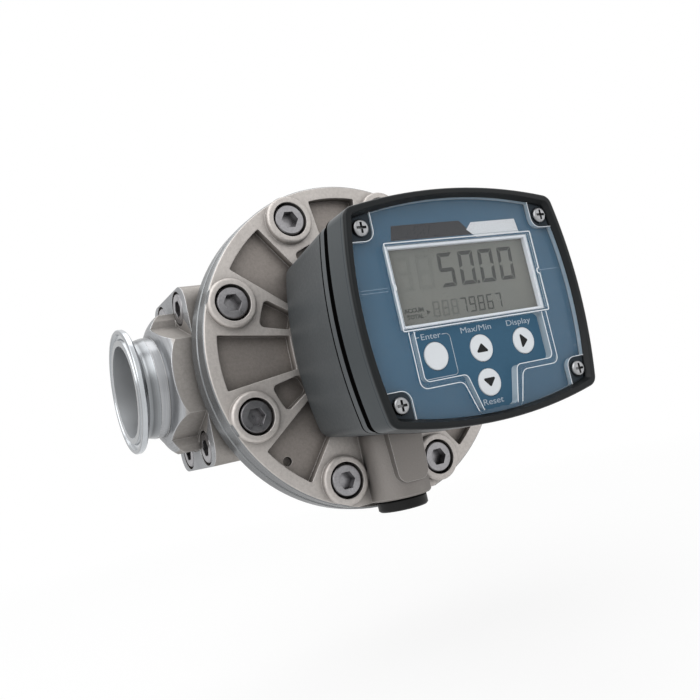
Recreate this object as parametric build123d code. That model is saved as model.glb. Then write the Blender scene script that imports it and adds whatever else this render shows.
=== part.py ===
from build123d import *
import os
from math import atan2, cos, degrees, hypot, pi, radians, sin, tan

# Oval gear flow meter with clamp ferrules at both ports and a battery display on its cover.
# Origin: centre of the inlet ferrule's sealing face. +X is the flow, the display faces -Y, +Z is up.
# All sizes are in millimetres.

# Overall layout
FACE_TO_FACE = 224.0        # inlet ferrule face to outlet ferrule face
CENTRE_X = FACE_TO_FACE / 2
PORT_BORE_R = 23.75         # two inch sanitary tube, inside
FIT_GAP = 0.02              # between pieces pressed or screwed together
SLIP_GAP = 0.15             # between parts that drop into each other

# Clamp ferrule
FERRULE_RIM_R = 32.0
FERRULE_RIM_THICK = 2.9
FERRULE_TAPER_DEG = 20.0
FERRULE_GROOVE_R = 28.3     # mean radius of the gasket groove
FERRULE_GROOVE_HALF = 1.7
FERRULE_GROOVE_DEPTH = 1.4
FERRULE_EDGE = 0.5
FERRULE_NECK_R = 25.0       # waist behind the rim
FERRULE_LENGTH = 11.0       # sealing face to weld

# Port adapter: turned neck and dome on a cast block with four screw seats
STUB_R = 26.2               # neck that the ferrule is welded to
DOME_START_X = 15.5
ADAPTER_SEAT_X = 30.5       # machined seat for the screw heads
ADAPTER_PLATE_THICK = 18.0
ADAPTER_HALF_Y = 31.2
ADAPTER_HALF_Z = 46.3
ADAPTER_CORNER_R = 10.0
DOME_FACE_R = STUB_R + 0.5
DOME_R = 37.4
DOME_DEPTH = 8.0
FLANK_TOP_Z = 18.5          # the block's flat side ends here and slopes inward
BRIDGE_HALF_Y = 7.6         # rib between the two screws
BRIDGE_FOOT_Z = 29.0
BRIDGE_TOP_Z = 36.2
PORT_SEAL_IN_R = 27.0
PORT_SEAL_WIDTH = 2.8
PORT_SEAL_DEPTH = 2.0

# Socket head screws for the cover and the adapters
SCREW_R = 5.0
SCREW_HEAD_R = 8.0
SCREW_HEAD_H = 8.0
SCREW_HEX = 8.0             # across flats
SCREW_HEX_DEPTH = 5.0
SCREW_HOLE_GAP = 0.5
THREAD_GAP = 0.03
RECESS_R = 9.1              # recess round a screw head
ADAPTER_SCREW_Y = 16.0
ADAPTER_SCREW_Z = 36.3
ADAPTER_SCREW_REACH = 15.0  # thread length in the body

# Measuring chamber and oval gears, one above the other
OVAL_MEAN_R = 27.0
OVAL_SWING = 5.0            # tip curve is mean radius plus this times cos(2 angle)
TIP_GAP = 0.3
GEAR_CENTRES = 2 * OVAL_MEAN_R + TIP_GAP
CHAMBER_LOBE_R = OVAL_MEAN_R + OVAL_SWING + TIP_GAP
CHAMBER_DEPTH = 64.0
GEAR_END_GAP = 0.3
GEAR_TEETH = 24
TOOTH_DEPTH = 4.2
TOOTH_GAP_TOP = 4.4
TOOTH_GAP_ROOT = 2.2
SHAFT_R = 6.0
RUNNING_GAP = 0.05
BUSH_R = 9.0
BUSH_LENGTH = 16.0
SHAFT_END_GRIP = 4.5        # into the cover
SHAFT_ROOT_GRIP = 10.0      # into the body's rear wall
MAGNET_R = 4.0
MAGNET_LENGTH = 6.0
MAGNET_OFFSET = 19.0

# Cover and body discs
COVER_R = 84.8
COVER_THICK = 9.5
FLANGE_STEP = 0.4           # the body's flange stands out past the cover
BODY_FLANGE_R = COVER_R + FLANGE_STEP
BODY_FLANGE_THICK = 9.5
JOINT_Y = -44.0             # plane where the cover meets the body
COVER_FACE_Y = JOINT_Y - COVER_THICK
BODY_FLANGE_BACK_Y = JOINT_Y + BODY_FLANGE_THICK
RIM_CHAMFER = 0.8
BOLT_COUNT = 8
BOLT_CIRCLE_R = 72.4
BOLT_FIRST_DEG = 22.5
BOSS_R = 12.3
BOSS_RISE = 3.6             # screw bosses stand this far out of the cover's face
BOSS_ROUND = 1.4
HEAD_BELOW_BOSS = 0.4
COVER_SEAT_Y = COVER_FACE_Y - BOSS_RISE + HEAD_BELOW_BOSS + SCREW_HEAD_H
COVER_SCREW_REACH = 11.0

# Pockets between the cover's spokes
POCKET_DEPTH = 5.2
POCKET_IN_R = 40.0
POCKET_OUT_R = 78.2
POCKET_HALF_IN = 8.6
POCKET_HALF_OUT = 13.8
POCKET_CORNER_R = 0.8
POCKET_OVERRUN = 10.0       # the wedge is drawn this far past its round end, then trimmed
SMALL_POCKET_OUT_R = 56.8
SMALL_POCKET_HALF_IN = 4.4
SMALL_POCKET_HALF_OUT = 7.4
SMALL_POCKET_CORNER_R = 2.6
SMALL_POCKET_DEPTH = 6.0
VENT_HOLE_R = 2.3
VENT_HOLE_CIRCLE_R = 73.9
VENT_HOLE_DEG = 224.3
VENT_HOLE_FLOOR = 1.2
DOWEL_R = 2.5
DOWEL_IN_COVER = 3.0
DOWEL_IN_BODY = 7.5

# Body behind the flange
BODY_R = 66.0
BODY_REAR_WALL = 13.0
CHAMBER_REAR_Y = JOINT_Y + CHAMBER_DEPTH
BODY_REAR_Y = CHAMBER_REAR_Y + BODY_REAR_WALL
BODY_EDGE_R = 5.0
PORT_PASSAGE_R = 20.0
PORT_TAPER_LENGTH = 10.0
REAR_BOSS_R = 14.0
REAR_BOSS_RISE = 2.5
NUT_BOSS_R = 9.5
NUT_BOSS_RISE = 2.6
COVER_SEAL_LAND = 2.55      # between the chamber's farthest reach and the seal groove
COVER_SEAL_IN_R = GEAR_CENTRES / 2 + CHAMBER_LOBE_R + COVER_SEAL_LAND
COVER_SEAL_WIDTH = 3.2
COVER_SEAL_DEPTH = 2.4

# Conduit entry cast on the cover's lower edge, closed by a plug
CONDUIT_R = 15.6
CONDUIT_Y = -57.2
CONDUIT_FLAT = 3.6          # the cover's lower edge is machined flat, this far up from its rim
CONDUIT_FOOT_Z = CONDUIT_FLAT - COVER_R
CONDUIT_TOP_Z = -40.0
CONDUIT_BORE_R = 9.5
CONDUIT_BORE_TOP_Z = -42.0
CONDUIT_PAD_HALF = 8.5
CONDUIT_PAD_SPREAD = 1.5    # each side of the pad leans out this far at the top
CONDUIT_PAD_FOOT = 7.2      # the pad starts this far above the entry's lower end
CONDUIT_PAD_FOOT_Z = CONDUIT_FOOT_Z + CONDUIT_PAD_FOOT
CONDUIT_PAD_RISE = 1.2
PLUG_R = 12.7
PLUG_HEAD_H = 4.8
PLUG_SHANK_H = 14.0
PLUG_SEAL_H = 1.0
PLUG_HEX = 10.0
WIRE_WAY_R = 5.0            # hole from the entry into the hood
WIRE_WAY_WALL = 1.5         # between that hole and the hood's base wall

# Hood between the cover and the display module; outlines bulge like a barrel
HOOD_BACK_Z = -0.5
HOOD_BACK = (39.4, 47.6, 34.0, 43.2)    # half width, half height, then the corner point
HOOD_BACK_CORNER_R = 7.0
HOOD_DEPTH = 75.0
HOOD_FRONT_Y = COVER_FACE_Y - HOOD_DEPTH
HOOD_WALL = 3.2
HOOD_BASE = 4.0
HOOD_INSET = 0.8            # the hood's front edge lies inside the bezel's outline
HOOD_SCREW_X = 20.0
HOOD_SCREW_Z = 27.0
HOOD_SCREW_R = 2.5
HOOD_SCREW_HEAD_R = 4.25
HOOD_SCREW_HEAD_H = 3.4
HOOD_SCREW_LENGTH = 10.5
HOOD_SEAL_IN_R = 25.2
HOOD_SEAL_WIDTH = 3.0
HOOD_SEAL_DEPTH = 2.0
SENSOR_HALF = (13.0, 18.0)
SENSOR_BOARD_THICK = 1.6
SENSOR_POCKET_DEPTH = 5.0
SENSOR_CORNER_R = 3.0
SENSOR_POCKET_GAP = 0.5
SENSOR_CHIP_R = 3.0
SENSOR_CHIP_H = 2.2
SENSOR_CHIP_Z = 8.0

# Display module
MODULE_Z = -4.0
MODULE = (57.2, 48.7, 52.6, 42.6)       # half width, half height, then the corner point
MODULE_CORNER_R = 5.0
BACK_THICK = 5.0
BACK_WALL = 3.0
BACK_RIM_WIDTH = 4.0
GASKET_THICK = 2.0
GASKET_INSET = 1.8
GASKET_WIDTH = 3.6
BEZEL_DEPTH = 16.5
BEZEL_LIP = 3.6
BEZEL_WALL = 5.2            # side wall behind the shelf
BEZEL_LIP_DEPTH = 2.4       # lip stands this far in front of the clear cover
BEZEL_EDGE_R = 1.2
BEZEL_FLARE = 1.2           # the lip's inner wall leans out this far
SHELF_INSET = 9.0
SHELF_THICK = 3.0
FASCIA_THICK = 1.5
CLEAR_THICK = 3.4           # with the air gap behind it
CLEAR_GAP = 0.2             # between the clear cover and what it covers
MODULE_BACK_Y = HOOD_FRONT_Y - BACK_THICK
BEZEL_BACK_Y = MODULE_BACK_Y - GASKET_THICK
BEZEL_FRONT_Y = BEZEL_BACK_Y - BEZEL_DEPTH
CLEAR_FRONT_Y = BEZEL_FRONT_Y + BEZEL_LIP_DEPTH
FASCIA_FRONT_Y = CLEAR_FRONT_Y + CLEAR_THICK
SHELF_Y = FASCIA_FRONT_Y + FASCIA_THICK

# Liquid crystal display
LCD_Z = 6.3
LCD_HALF = (35.3, 15.5)
LCD_FRAME_BORDER = (1.4, 1.1)
LCD_FRAME_HALF = (LCD_HALF[0] + LCD_FRAME_BORDER[0], LCD_HALF[1] + LCD_FRAME_BORDER[1])
LCD_FRAME_PROUD = 1.7       # the frame stands in front of the fascia, in a pocket of the clear cover
LCD_FRAME_DEPTH = 6.4
LCD_FRAME_LIP = 2.0
LCD_GLASS_THICK = 2.2
LCD_GLASS_MARGIN = 0.3
BOARD_THICK = 1.6
BOARD_INSET = 12.0

# Keys
KEY_R = 5.65
KEY_PITCH_X = 22.9
KEY_ROW_Z = -22.4
KEY_LOW_Z = -36.7
KEY_PROUD = 0.4
KEY_FLANGE_R = 6.6
KEY_FLANGE_THICK = 1.0
KEY_TRAVEL = 0.6
KEY_GAP = 0.2
DOME_SWITCH_R = 3.0
DOME_SWITCH_GAP = 0.25

# Cut-out in the clear cover round the keys: upper block, then a shorter block round the lowest key
CUTOUT_TOP_Z = -11.7
CUTOUT_SHOULDER_Z = -32.0
CUTOUT_FOOT_Z = -47.2
CUTOUT_HALF = 33.2
CUTOUT_NECK_HALF = 13.0
CUTOUT_FOOT_HALF = 8.8
CUTOUT_CORNER_R = 2.4
RIM_WIDTH = 2.5             # low rims on the clear cover, round the cut-out and the display
RIM_RISE = 0.5
LCD_RIM_BORDER = 1.6
LCD_RIM_HALF = (LCD_FRAME_HALF[0] + LCD_RIM_BORDER, LCD_FRAME_HALF[1] + LCD_RIM_BORDER)
CORNER_NOTCH = 5.3          # corner recess of the clear cover, from the screw's centre inward
CORNER_NOTCH_REACH = 12.0   # and outward past the module's corner
CORNER_NOTCH_R = 4.4
PAD_BELOW_CLEAR = 1.0       # screw pads in the corners lie this far behind the clear cover's front
PAD_Y = CLEAR_FRONT_Y + PAD_BELOW_CLEAR

# Screws in the display's corners
PANEL_SCREW_X = 46.1
PANEL_SCREW_Z = 34.8
PANEL_SCREW_R = 2.0
PANEL_HOLE_GAP = 0.2
PANEL_SLOT = (4.4, 1.0)     # cross recess: length and width
PANEL_HEAD_R = 3.5
PANEL_HEAD_H = 2.0
PANEL_SCREW_LENGTH = 28.0
PANEL_POST_R = 4.6
HOOD_POST_LENGTH = 13.0

# Battery behind the display
BATTERY_R = 8.5
BATTERY_LENGTH = 50.0
BATTERY_BUTTON_R = 3.0
BATTERY_BUTTON_H = 2.0
TRAY_WALL = 2.0
TRAY_GAP = 0.5
TRAY_CORNER_R = 3.0
TRAY_Z = -22.0
CLIP_WIDTH = 8.0
CLIP_THICK = 0.8
CLIP_LAND = 3.0             # the clip rests on the rear case this far past the tray
POST_R = 2.5                # pillars that carry the circuit board
POST_INSET = (6.0, 4.0)


def face_plane(y):
    """Plane at this Y, seen from the display side: local x is +X, local y is +Z, normal is -Y."""
    return Plane(origin=(CENTRE_X, y, 0), x_dir=(1, 0, 0), z_dir=(0, -1, 0))


def slab(outline, back_y, front_y):
    """Outline drawn round the meter's centre, made solid from back_y forward to front_y."""
    return extrude(face_plane(back_y) * outline, amount=back_y - front_y, dir=(0, -1, 0))


def x_plane(x):
    """Plane square to the flow: local x is +Y, local y is +Z, normal is +X."""
    return Plane(origin=(x, 0, 0), x_dir=(0, 1, 0), z_dir=(1, 0, 0))


def x_slab(outline, x_from, x_to):
    return extrude(x_plane(x_from) * outline, amount=x_to - x_from, dir=(1, 0, 0))


def at_outlet(part):
    """The outlet side is the inlet side seen in a mirror."""
    return mirror(part, about=Plane(origin=(CENTRE_X, 0, 0), z_dir=(1, 0, 0)))


def polar(radius, angle_deg):
    return (radius * cos(radians(angle_deg)), radius * sin(radians(angle_deg)))


def ring(inner, outer):
    return Circle(outer) - Circle(inner)


def barrel(sizes, corner_r, inset=0.0):
    """Rectangle with four bulging sides and round corners."""
    half_w, half_h, corner_w, corner_h = (value - inset for value in sizes)
    sides = [
        ThreePointArc((corner_w, -corner_h), (half_w, 0), (corner_w, corner_h)),
        ThreePointArc((corner_w, corner_h), (0, half_h), (-corner_w, corner_h)),
        ThreePointArc((-corner_w, corner_h), (-half_w, 0), (-corner_w, -corner_h)),
        ThreePointArc((-corner_w, -corner_h), (0, -half_h), (corner_w, -corner_h)),
    ]
    face = make_face(Curve() + sides)
    return fillet(face.vertices(), max(corner_r - inset, 1.0))


def module_outline(inset=0.0):
    return Pos(0, MODULE_Z) * barrel(MODULE, MODULE_CORNER_R, inset)


def bolt_angles():
    return [BOLT_FIRST_DEG + index * 360 / BOLT_COUNT for index in range(BOLT_COUNT)]


def socket_screw(radius, head_r, head_h, length, hex_flats, hex_depth):
    """Cap screw standing on Z: seat at zero, head above, shank below."""
    head = Cylinder(head_r, head_h, align=(Align.CENTER, Align.CENTER, Align.MIN))
    head = chamfer(head.edges().group_by(Axis.Z)[-1], head_h * 0.08)
    socket = Plane.XY.offset(head_h) * RegularPolygon(hex_flats / 2, 6, major_radius=False)
    head -= extrude(socket, amount=-hex_depth)
    shank = Cylinder(radius, length, align=(Align.CENTER, Align.CENTER, Align.MAX))
    shank = chamfer(shank.edges().group_by(Axis.Z)[0], radius * 0.2)
    return head + shank


def facing_front(x, y, z):
    """Location whose Z axis points at the viewer, along -Y."""
    return Location(Plane(origin=(x, y, z), x_dir=(1, 0, 0), z_dir=(0, -1, 0)))


# Ports

def ferrule():
    """Tube end with a clamp rim and gasket groove, turned about the flow axis."""
    taper_end = FERRULE_RIM_THICK + (FERRULE_RIM_R - FERRULE_NECK_R) * tan(radians(FERRULE_TAPER_DEG))
    profile = Polygon(
        (0, PORT_BORE_R),
        (0, FERRULE_RIM_R),
        (FERRULE_RIM_THICK, FERRULE_RIM_R),
        (taper_end, FERRULE_NECK_R),
        (taper_end + 1.0, FERRULE_NECK_R),
        (FERRULE_LENGTH, STUB_R),
        (FERRULE_LENGTH, PORT_BORE_R),
        align=None,
    )
    profile = chamfer(profile.vertices().group_by(Axis.Y)[-1], FERRULE_EDGE)
    groove = Polygon(
        (0, FERRULE_GROOVE_R - FERRULE_GROOVE_HALF),
        (0, FERRULE_GROOVE_R + FERRULE_GROOVE_HALF),
        (FERRULE_GROOVE_DEPTH, FERRULE_GROOVE_R + FERRULE_GROOVE_HALF / 2),
        (FERRULE_GROOVE_DEPTH, FERRULE_GROOVE_R - FERRULE_GROOVE_HALF / 2),
        align=None,
    )
    return revolve(Plane.XZ * (profile - groove), axis=Axis.X)


def adapter_outline():
    return RectangleRounded(2 * ADAPTER_HALF_Y, 2 * ADAPTER_HALF_Z, ADAPTER_CORNER_R)


def adapter_screw_places():
    return [(y, z) for y in (-ADAPTER_SCREW_Y, ADAPTER_SCREW_Y) for z in (-ADAPTER_SCREW_Z, ADAPTER_SCREW_Z)]


def adapter():
    """Cast block: flat plate with four screw seats, and a turned dome and neck that carry the ferrule."""
    joint_x = ADAPTER_SEAT_X + ADAPTER_PLATE_THICK
    plate = x_slab(adapter_outline(), ADAPTER_SEAT_X, joint_x)
    flank = Polygon(
        (ADAPTER_HALF_Y, -FLANK_TOP_Z),
        (ADAPTER_HALF_Y, FLANK_TOP_Z),
        (BRIDGE_HALF_Y, BRIDGE_FOOT_Z),
        (BRIDGE_HALF_Y, BRIDGE_TOP_Z),
        (-BRIDGE_HALF_Y, BRIDGE_TOP_Z),
        (-BRIDGE_HALF_Y, BRIDGE_FOOT_Z),
        (-ADAPTER_HALF_Y, FLANK_TOP_Z),
        (-ADAPTER_HALF_Y, -FLANK_TOP_Z),
        (-BRIDGE_HALF_Y, -BRIDGE_FOOT_Z),
        (-BRIDGE_HALF_Y, -BRIDGE_TOP_Z),
        (BRIDGE_HALF_Y, -BRIDGE_TOP_Z),
        (BRIDGE_HALF_Y, -BRIDGE_FOOT_Z),
        align=None,
    )
    block = x_slab(flank, DOME_START_X, ADAPTER_SEAT_X)
    dome_end_x = DOME_START_X + DOME_DEPTH
    dome_line = [
        Polyline((DOME_START_X, 0), (DOME_START_X, DOME_FACE_R)),
        ThreePointArc(
            (DOME_START_X, DOME_FACE_R),
            (DOME_START_X + DOME_DEPTH * 0.40, DOME_FACE_R + (DOME_R - DOME_FACE_R) * 0.62),
            (dome_end_x, DOME_R),
        ),
        Polyline((dome_end_x, DOME_R), (ADAPTER_SEAT_X, DOME_R), (ADAPTER_SEAT_X, 0), (DOME_START_X, 0)),
    ]
    dome = revolve(Plane.XZ * make_face(Curve() + dome_line), axis=Axis.X)
    part = plate + (block & dome) + x_slab(Circle(STUB_R), FERRULE_LENGTH, DOME_START_X)
    part -= x_slab(Circle(PORT_BORE_R), 0, joint_x)
    for y, z in adapter_screw_places():
        part -= x_slab(Pos(y, z) * Circle(RECESS_R), DOME_START_X, ADAPTER_SEAT_X + SCREW_HEAD_H)
        part -= x_slab(Pos(y, z) * Circle(SCREW_R + SCREW_HOLE_GAP), DOME_START_X, joint_x)
    return part


def port_seal():
    joint_x = ADAPTER_SEAT_X + ADAPTER_PLATE_THICK
    return x_slab(ring(PORT_SEAL_IN_R, PORT_SEAL_IN_R + PORT_SEAL_WIDTH), joint_x, joint_x + PORT_SEAL_DEPTH)


def adapter_screws():
    """Heads level with the seat, threads in the body."""
    under_head = ADAPTER_SEAT_X + SCREW_HEAD_H
    length = ADAPTER_PLATE_THICK - SCREW_HEAD_H + ADAPTER_SCREW_REACH
    screw = socket_screw(SCREW_R - THREAD_GAP, SCREW_HEAD_R, SCREW_HEAD_H, length, SCREW_HEX, SCREW_HEX_DEPTH)
    places = [Plane(origin=(under_head, y, z), x_dir=(0, 1, 0), z_dir=(-1, 0, 0))
              for y, z in adapter_screw_places()]
    return Compound(children=[place * screw for place in places])


# Body and cover

def lobe_places():
    return [(0, GEAR_CENTRES / 2), (0, -GEAR_CENTRES / 2)]


def chamber_outline():
    outline = Sketch()
    for place in lobe_places():
        outline += Pos(*place) * Circle(CHAMBER_LOBE_R)
    return outline


def meter_body():
    """Casting: flange for the cover, round housing, port block, and the figure-eight chamber."""
    joint_x = ADAPTER_SEAT_X + ADAPTER_PLATE_THICK
    part = slab(Circle(BODY_FLANGE_R), BODY_FLANGE_BACK_Y, JOINT_Y)
    part = chamfer(part.edges(), RIM_CHAMFER)
    housing = slab(Circle(BODY_R), BODY_REAR_Y, BODY_FLANGE_BACK_Y)
    housing = fillet(housing.edges().group_by(Axis.Y)[-1], BODY_EDGE_R)
    part += housing & x_slab(Rectangle(4 * BODY_R, 4 * BODY_R), joint_x, FACE_TO_FACE - joint_x)
    part += x_slab(adapter_outline(), joint_x, FACE_TO_FACE - joint_x)
    for x, z in (polar(BOLT_CIRCLE_R, angle) for angle in bolt_angles()):
        part += slab(Pos(x, z) * Circle(NUT_BOSS_R), BODY_FLANGE_BACK_Y + NUT_BOSS_RISE, BODY_FLANGE_BACK_Y)
    for place in lobe_places():
        part += slab(Pos(*place) * Circle(REAR_BOSS_R), BODY_REAR_Y + REAR_BOSS_RISE, BODY_REAR_Y)
    part -= slab(chamber_outline(), CHAMBER_REAR_Y, JOINT_Y)
    for place in lobe_places():
        shaft_hole = Pos(*place) * Circle(SHAFT_R + FIT_GAP)
        part -= slab(shaft_hole, CHAMBER_REAR_Y + SHAFT_ROOT_GRIP, CHAMBER_REAR_Y)
    taper_end_x = joint_x + PORT_TAPER_LENGTH
    port_taper = loft([x_plane(joint_x) * Circle(PORT_BORE_R),
                       x_plane(taper_end_x) * Circle(PORT_PASSAGE_R)])
    passage = port_taper + x_slab(Circle(PORT_PASSAGE_R), taper_end_x, CENTRE_X - CHAMBER_LOBE_R / 2)
    seal_groove = port_seal()
    for cut in (passage, seal_groove):
        part -= cut
        part -= at_outlet(cut)
    for y, z in adapter_screw_places():
        hole = x_slab(Pos(y, z) * Circle(SCREW_R), joint_x, joint_x + ADAPTER_SCREW_REACH + 2)
        part -= hole
        part -= at_outlet(hole)
    part -= cover_seal()
    for x, z in (polar(BOLT_CIRCLE_R, angle) for angle in bolt_angles()):
        part -= slab(Pos(x, z) * Circle(SCREW_R), BODY_FLANGE_BACK_Y + NUT_BOSS_RISE, JOINT_Y)
    for x, z in dowel_places():
        part -= slab(Pos(x, z) * Circle(DOWEL_R + FIT_GAP), JOINT_Y + DOWEL_IN_BODY, JOINT_Y)
    return part


def cover_seal():
    outline = ring(COVER_SEAL_IN_R, COVER_SEAL_IN_R + COVER_SEAL_WIDTH)
    return slab(outline, JOINT_Y + COVER_SEAL_DEPTH, JOINT_Y)


def dowel_places():
    return [(-BOLT_CIRCLE_R, 0), (BOLT_CIRCLE_R, 0)]


def dowel_pins():
    pin = Circle(DOWEL_R)
    pins = [slab(Pos(x, z) * pin, JOINT_Y + DOWEL_IN_BODY, JOINT_Y - DOWEL_IN_COVER)
            for x, z in dowel_places()]
    return Compound(children=pins)


def pocket(in_r, out_r, half_in, half_out, corner_r):
    """Wedge lying along +X from in_r to out_r, its outer end round the disc's centre."""
    reach = out_r + POCKET_OVERRUN
    spread = half_in + (half_out - half_in) * (reach - in_r) / (out_r - in_r)
    wedge = Polygon((in_r, -half_in), (reach, -spread), (reach, spread), (in_r, half_in), align=None)
    wedge &= Circle(out_r)
    return fillet(wedge.vertices(), corner_r)


def conduit_boss():
    """Round entry on the cover's lower edge with a flat tapered pad on its front."""
    foot = Plane(origin=(CENTRE_X, CONDUIT_Y, CONDUIT_FOOT_Z))
    boss = extrude(foot * Circle(CONDUIT_R), amount=CONDUIT_TOP_Z - CONDUIT_FOOT_Z)
    boss = chamfer(boss.edges().group_by(Axis.Z)[0], RIM_CHAMFER)
    pad_outline = Polygon(
        (-CONDUIT_PAD_HALF - CONDUIT_PAD_SPREAD, CONDUIT_TOP_Z),
        (CONDUIT_PAD_HALF + CONDUIT_PAD_SPREAD, CONDUIT_TOP_Z),
        (CONDUIT_PAD_HALF, CONDUIT_PAD_FOOT_Z),
        (-CONDUIT_PAD_HALF, CONDUIT_PAD_FOOT_Z),
        align=None,
    )
    pad_outline = fillet(pad_outline.vertices().group_by(Axis.Y)[0], CONDUIT_PAD_HALF * 0.6)
    boss += slab(pad_outline, CONDUIT_Y, CONDUIT_Y - CONDUIT_R - CONDUIT_PAD_RISE)
    behind = slab(Rectangle(4 * CONDUIT_R, 4 * COVER_R), JOINT_Y + 2 * CONDUIT_R, JOINT_Y)
    return boss - behind - hood_envelope(SLIP_GAP)


def front_cover():
    """Cast cover: spokes between pockets, raised screw bosses and the conduit entry."""
    part = slab(Circle(COVER_R), JOINT_Y, COVER_FACE_Y)
    part = chamfer(part.edges().group_by(Axis.Y)[0], RIM_CHAMFER)
    below_foot = Pos(0, CONDUIT_FOOT_Z - COVER_R) * Rectangle(2 * COVER_R, 2 * COVER_R)
    part -= slab(below_foot, JOINT_Y, COVER_FACE_Y)
    big = pocket(POCKET_IN_R, POCKET_OUT_R, POCKET_HALF_IN, POCKET_HALF_OUT, POCKET_CORNER_R)
    small = pocket(POCKET_IN_R, SMALL_POCKET_OUT_R, SMALL_POCKET_HALF_IN, SMALL_POCKET_HALF_OUT,
                   SMALL_POCKET_CORNER_R)
    for index in range(BOLT_COUNT):
        angle = index * 360 / BOLT_COUNT
        if angle != 270:
            part -= slab(Rot(0, 0, angle) * big, COVER_FACE_Y + POCKET_DEPTH, COVER_FACE_Y)
    for angle in bolt_angles():
        if abs(angle - 270) > 30:
            part -= slab(Rot(0, 0, angle) * small, COVER_FACE_Y + SMALL_POCKET_DEPTH, COVER_FACE_Y)
    for angle in bolt_angles():
        x, z = polar(BOLT_CIRCLE_R, angle)
        boss = slab(Pos(x, z) * Circle(BOSS_R), JOINT_Y, COVER_FACE_Y - BOSS_RISE)
        part += fillet(boss.edges().group_by(Axis.Y)[0], BOSS_ROUND)
    part += conduit_boss()
    for angle in bolt_angles():
        x, z = polar(BOLT_CIRCLE_R, angle)
        part -= slab(Pos(x, z) * Circle(RECESS_R), COVER_SEAT_Y, COVER_FACE_Y - 3 * BOSS_RISE)
        part -= slab(Pos(x, z) * Circle(SCREW_R + SCREW_HOLE_GAP), JOINT_Y, COVER_SEAT_Y)
    x, z = polar(VENT_HOLE_CIRCLE_R, VENT_HOLE_DEG)
    part -= slab(Pos(x, z) * Circle(VENT_HOLE_R), JOINT_Y - VENT_HOLE_FLOOR, COVER_FACE_Y)
    for x, z in dowel_places():
        part -= slab(Pos(x, z) * Circle(DOWEL_R + FIT_GAP), JOINT_Y, JOINT_Y - DOWEL_IN_COVER)
    for place in lobe_places():
        part -= slab(Pos(*place) * Circle(SHAFT_R + FIT_GAP), JOINT_Y, JOINT_Y - SHAFT_END_GRIP)
    part -= slab(sensor_outline(SENSOR_POCKET_GAP), COVER_FACE_Y + SENSOR_POCKET_DEPTH, COVER_FACE_Y)
    for x, z in hood_screw_places():
        thread_end_y = COVER_FACE_Y + HOOD_SCREW_LENGTH - HOOD_BASE
        part -= slab(Pos(x, z) * Circle(HOOD_SCREW_R), thread_end_y, COVER_FACE_Y)
    bore = Plane(origin=(CENTRE_X, CONDUIT_Y, CONDUIT_FOOT_Z)) * Circle(CONDUIT_BORE_R)
    return part - extrude(bore, amount=CONDUIT_BORE_TOP_Z - CONDUIT_FOOT_Z)


def cover_screws():
    length = JOINT_Y - COVER_SEAT_Y + COVER_SCREW_REACH
    screw = socket_screw(SCREW_R - THREAD_GAP, SCREW_HEAD_R, SCREW_HEAD_H, length, SCREW_HEX, SCREW_HEX_DEPTH)
    places = [polar(BOLT_CIRCLE_R, angle) for angle in bolt_angles()]
    return Compound(children=[facing_front(CENTRE_X + x, COVER_SEAT_Y, z) * screw for x, z in places])


def conduit_plug():
    """Round head below the entry, shank up its bore, hexagon socket from below."""
    head_top = CONDUIT_FOOT_Z - PLUG_SEAL_H
    seat = Plane(origin=(CENTRE_X, CONDUIT_Y, head_top))
    head = extrude(seat * Circle(PLUG_R), amount=-PLUG_HEAD_H)
    head = chamfer(head.edges().group_by(Axis.Z)[0], 0.8)
    shank = extrude(seat * Circle(CONDUIT_BORE_R - THREAD_GAP), amount=PLUG_SHANK_H)
    socket = Plane(origin=(CENTRE_X, CONDUIT_Y, head_top - PLUG_HEAD_H)) * RegularPolygon(
        PLUG_HEX / 2, 6, major_radius=False)
    return head + shank - extrude(socket, amount=PLUG_HEAD_H)


def plug_seal():
    washer = Plane(origin=(CENTRE_X, CONDUIT_Y, CONDUIT_FOOT_Z)) * ring(CONDUIT_BORE_R, PLUG_R - 0.8)
    return extrude(washer, amount=-PLUG_SEAL_H)


# Gears

def tip_radius(angle):
    return OVAL_MEAN_R + OVAL_SWING * cos(2 * angle)


def oval_point(angle):
    return (tip_radius(angle) * cos(angle), tip_radius(angle) * sin(angle))


def tooth_angles():
    """Angles that divide the tip curve's length evenly among the teeth."""
    steps = 1440
    lengths = [0.0]
    for index in range(steps):
        here = oval_point(2 * pi * index / steps)
        there = oval_point(2 * pi * (index + 1) / steps)
        lengths.append(lengths[-1] + hypot(there[0] - here[0], there[1] - here[1]))
    wanted = [(tooth + 0.5) * lengths[-1] / GEAR_TEETH for tooth in range(GEAR_TEETH)]
    angles = []
    for target in wanted:
        index = next(i for i in range(steps) if lengths[i + 1] >= target)
        share = (target - lengths[index]) / (lengths[index + 1] - lengths[index])
        angles.append(2 * pi * (index + share) / steps)
    return angles


def gear_outline():
    """Oval blank with straight-sided gaps cut square to its edge."""
    points = [oval_point(2 * pi * index / 32) for index in range(32)]
    blank = make_face(Spline(*points, periodic=True))
    gap = Polygon(
        (1.0, -TOOTH_GAP_TOP / 2 - 0.2),
        (1.0, TOOTH_GAP_TOP / 2 + 0.2),
        (-TOOTH_DEPTH, TOOTH_GAP_ROOT / 2),
        (-TOOTH_DEPTH, -TOOTH_GAP_ROOT / 2),
        align=None,
    )
    for angle in tooth_angles():
        x, y = oval_point(angle)
        before = oval_point(angle - 0.001)
        after = oval_point(angle + 0.001)
        outward = degrees(atan2(after[1] - before[1], after[0] - before[0])) - 90
        blank -= Pos(x, y) * Rot(0, 0, outward) * gap
    return blank


def gear_span():
    return CHAMBER_REAR_Y - GEAR_END_GAP, JOINT_Y + GEAR_END_GAP


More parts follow.
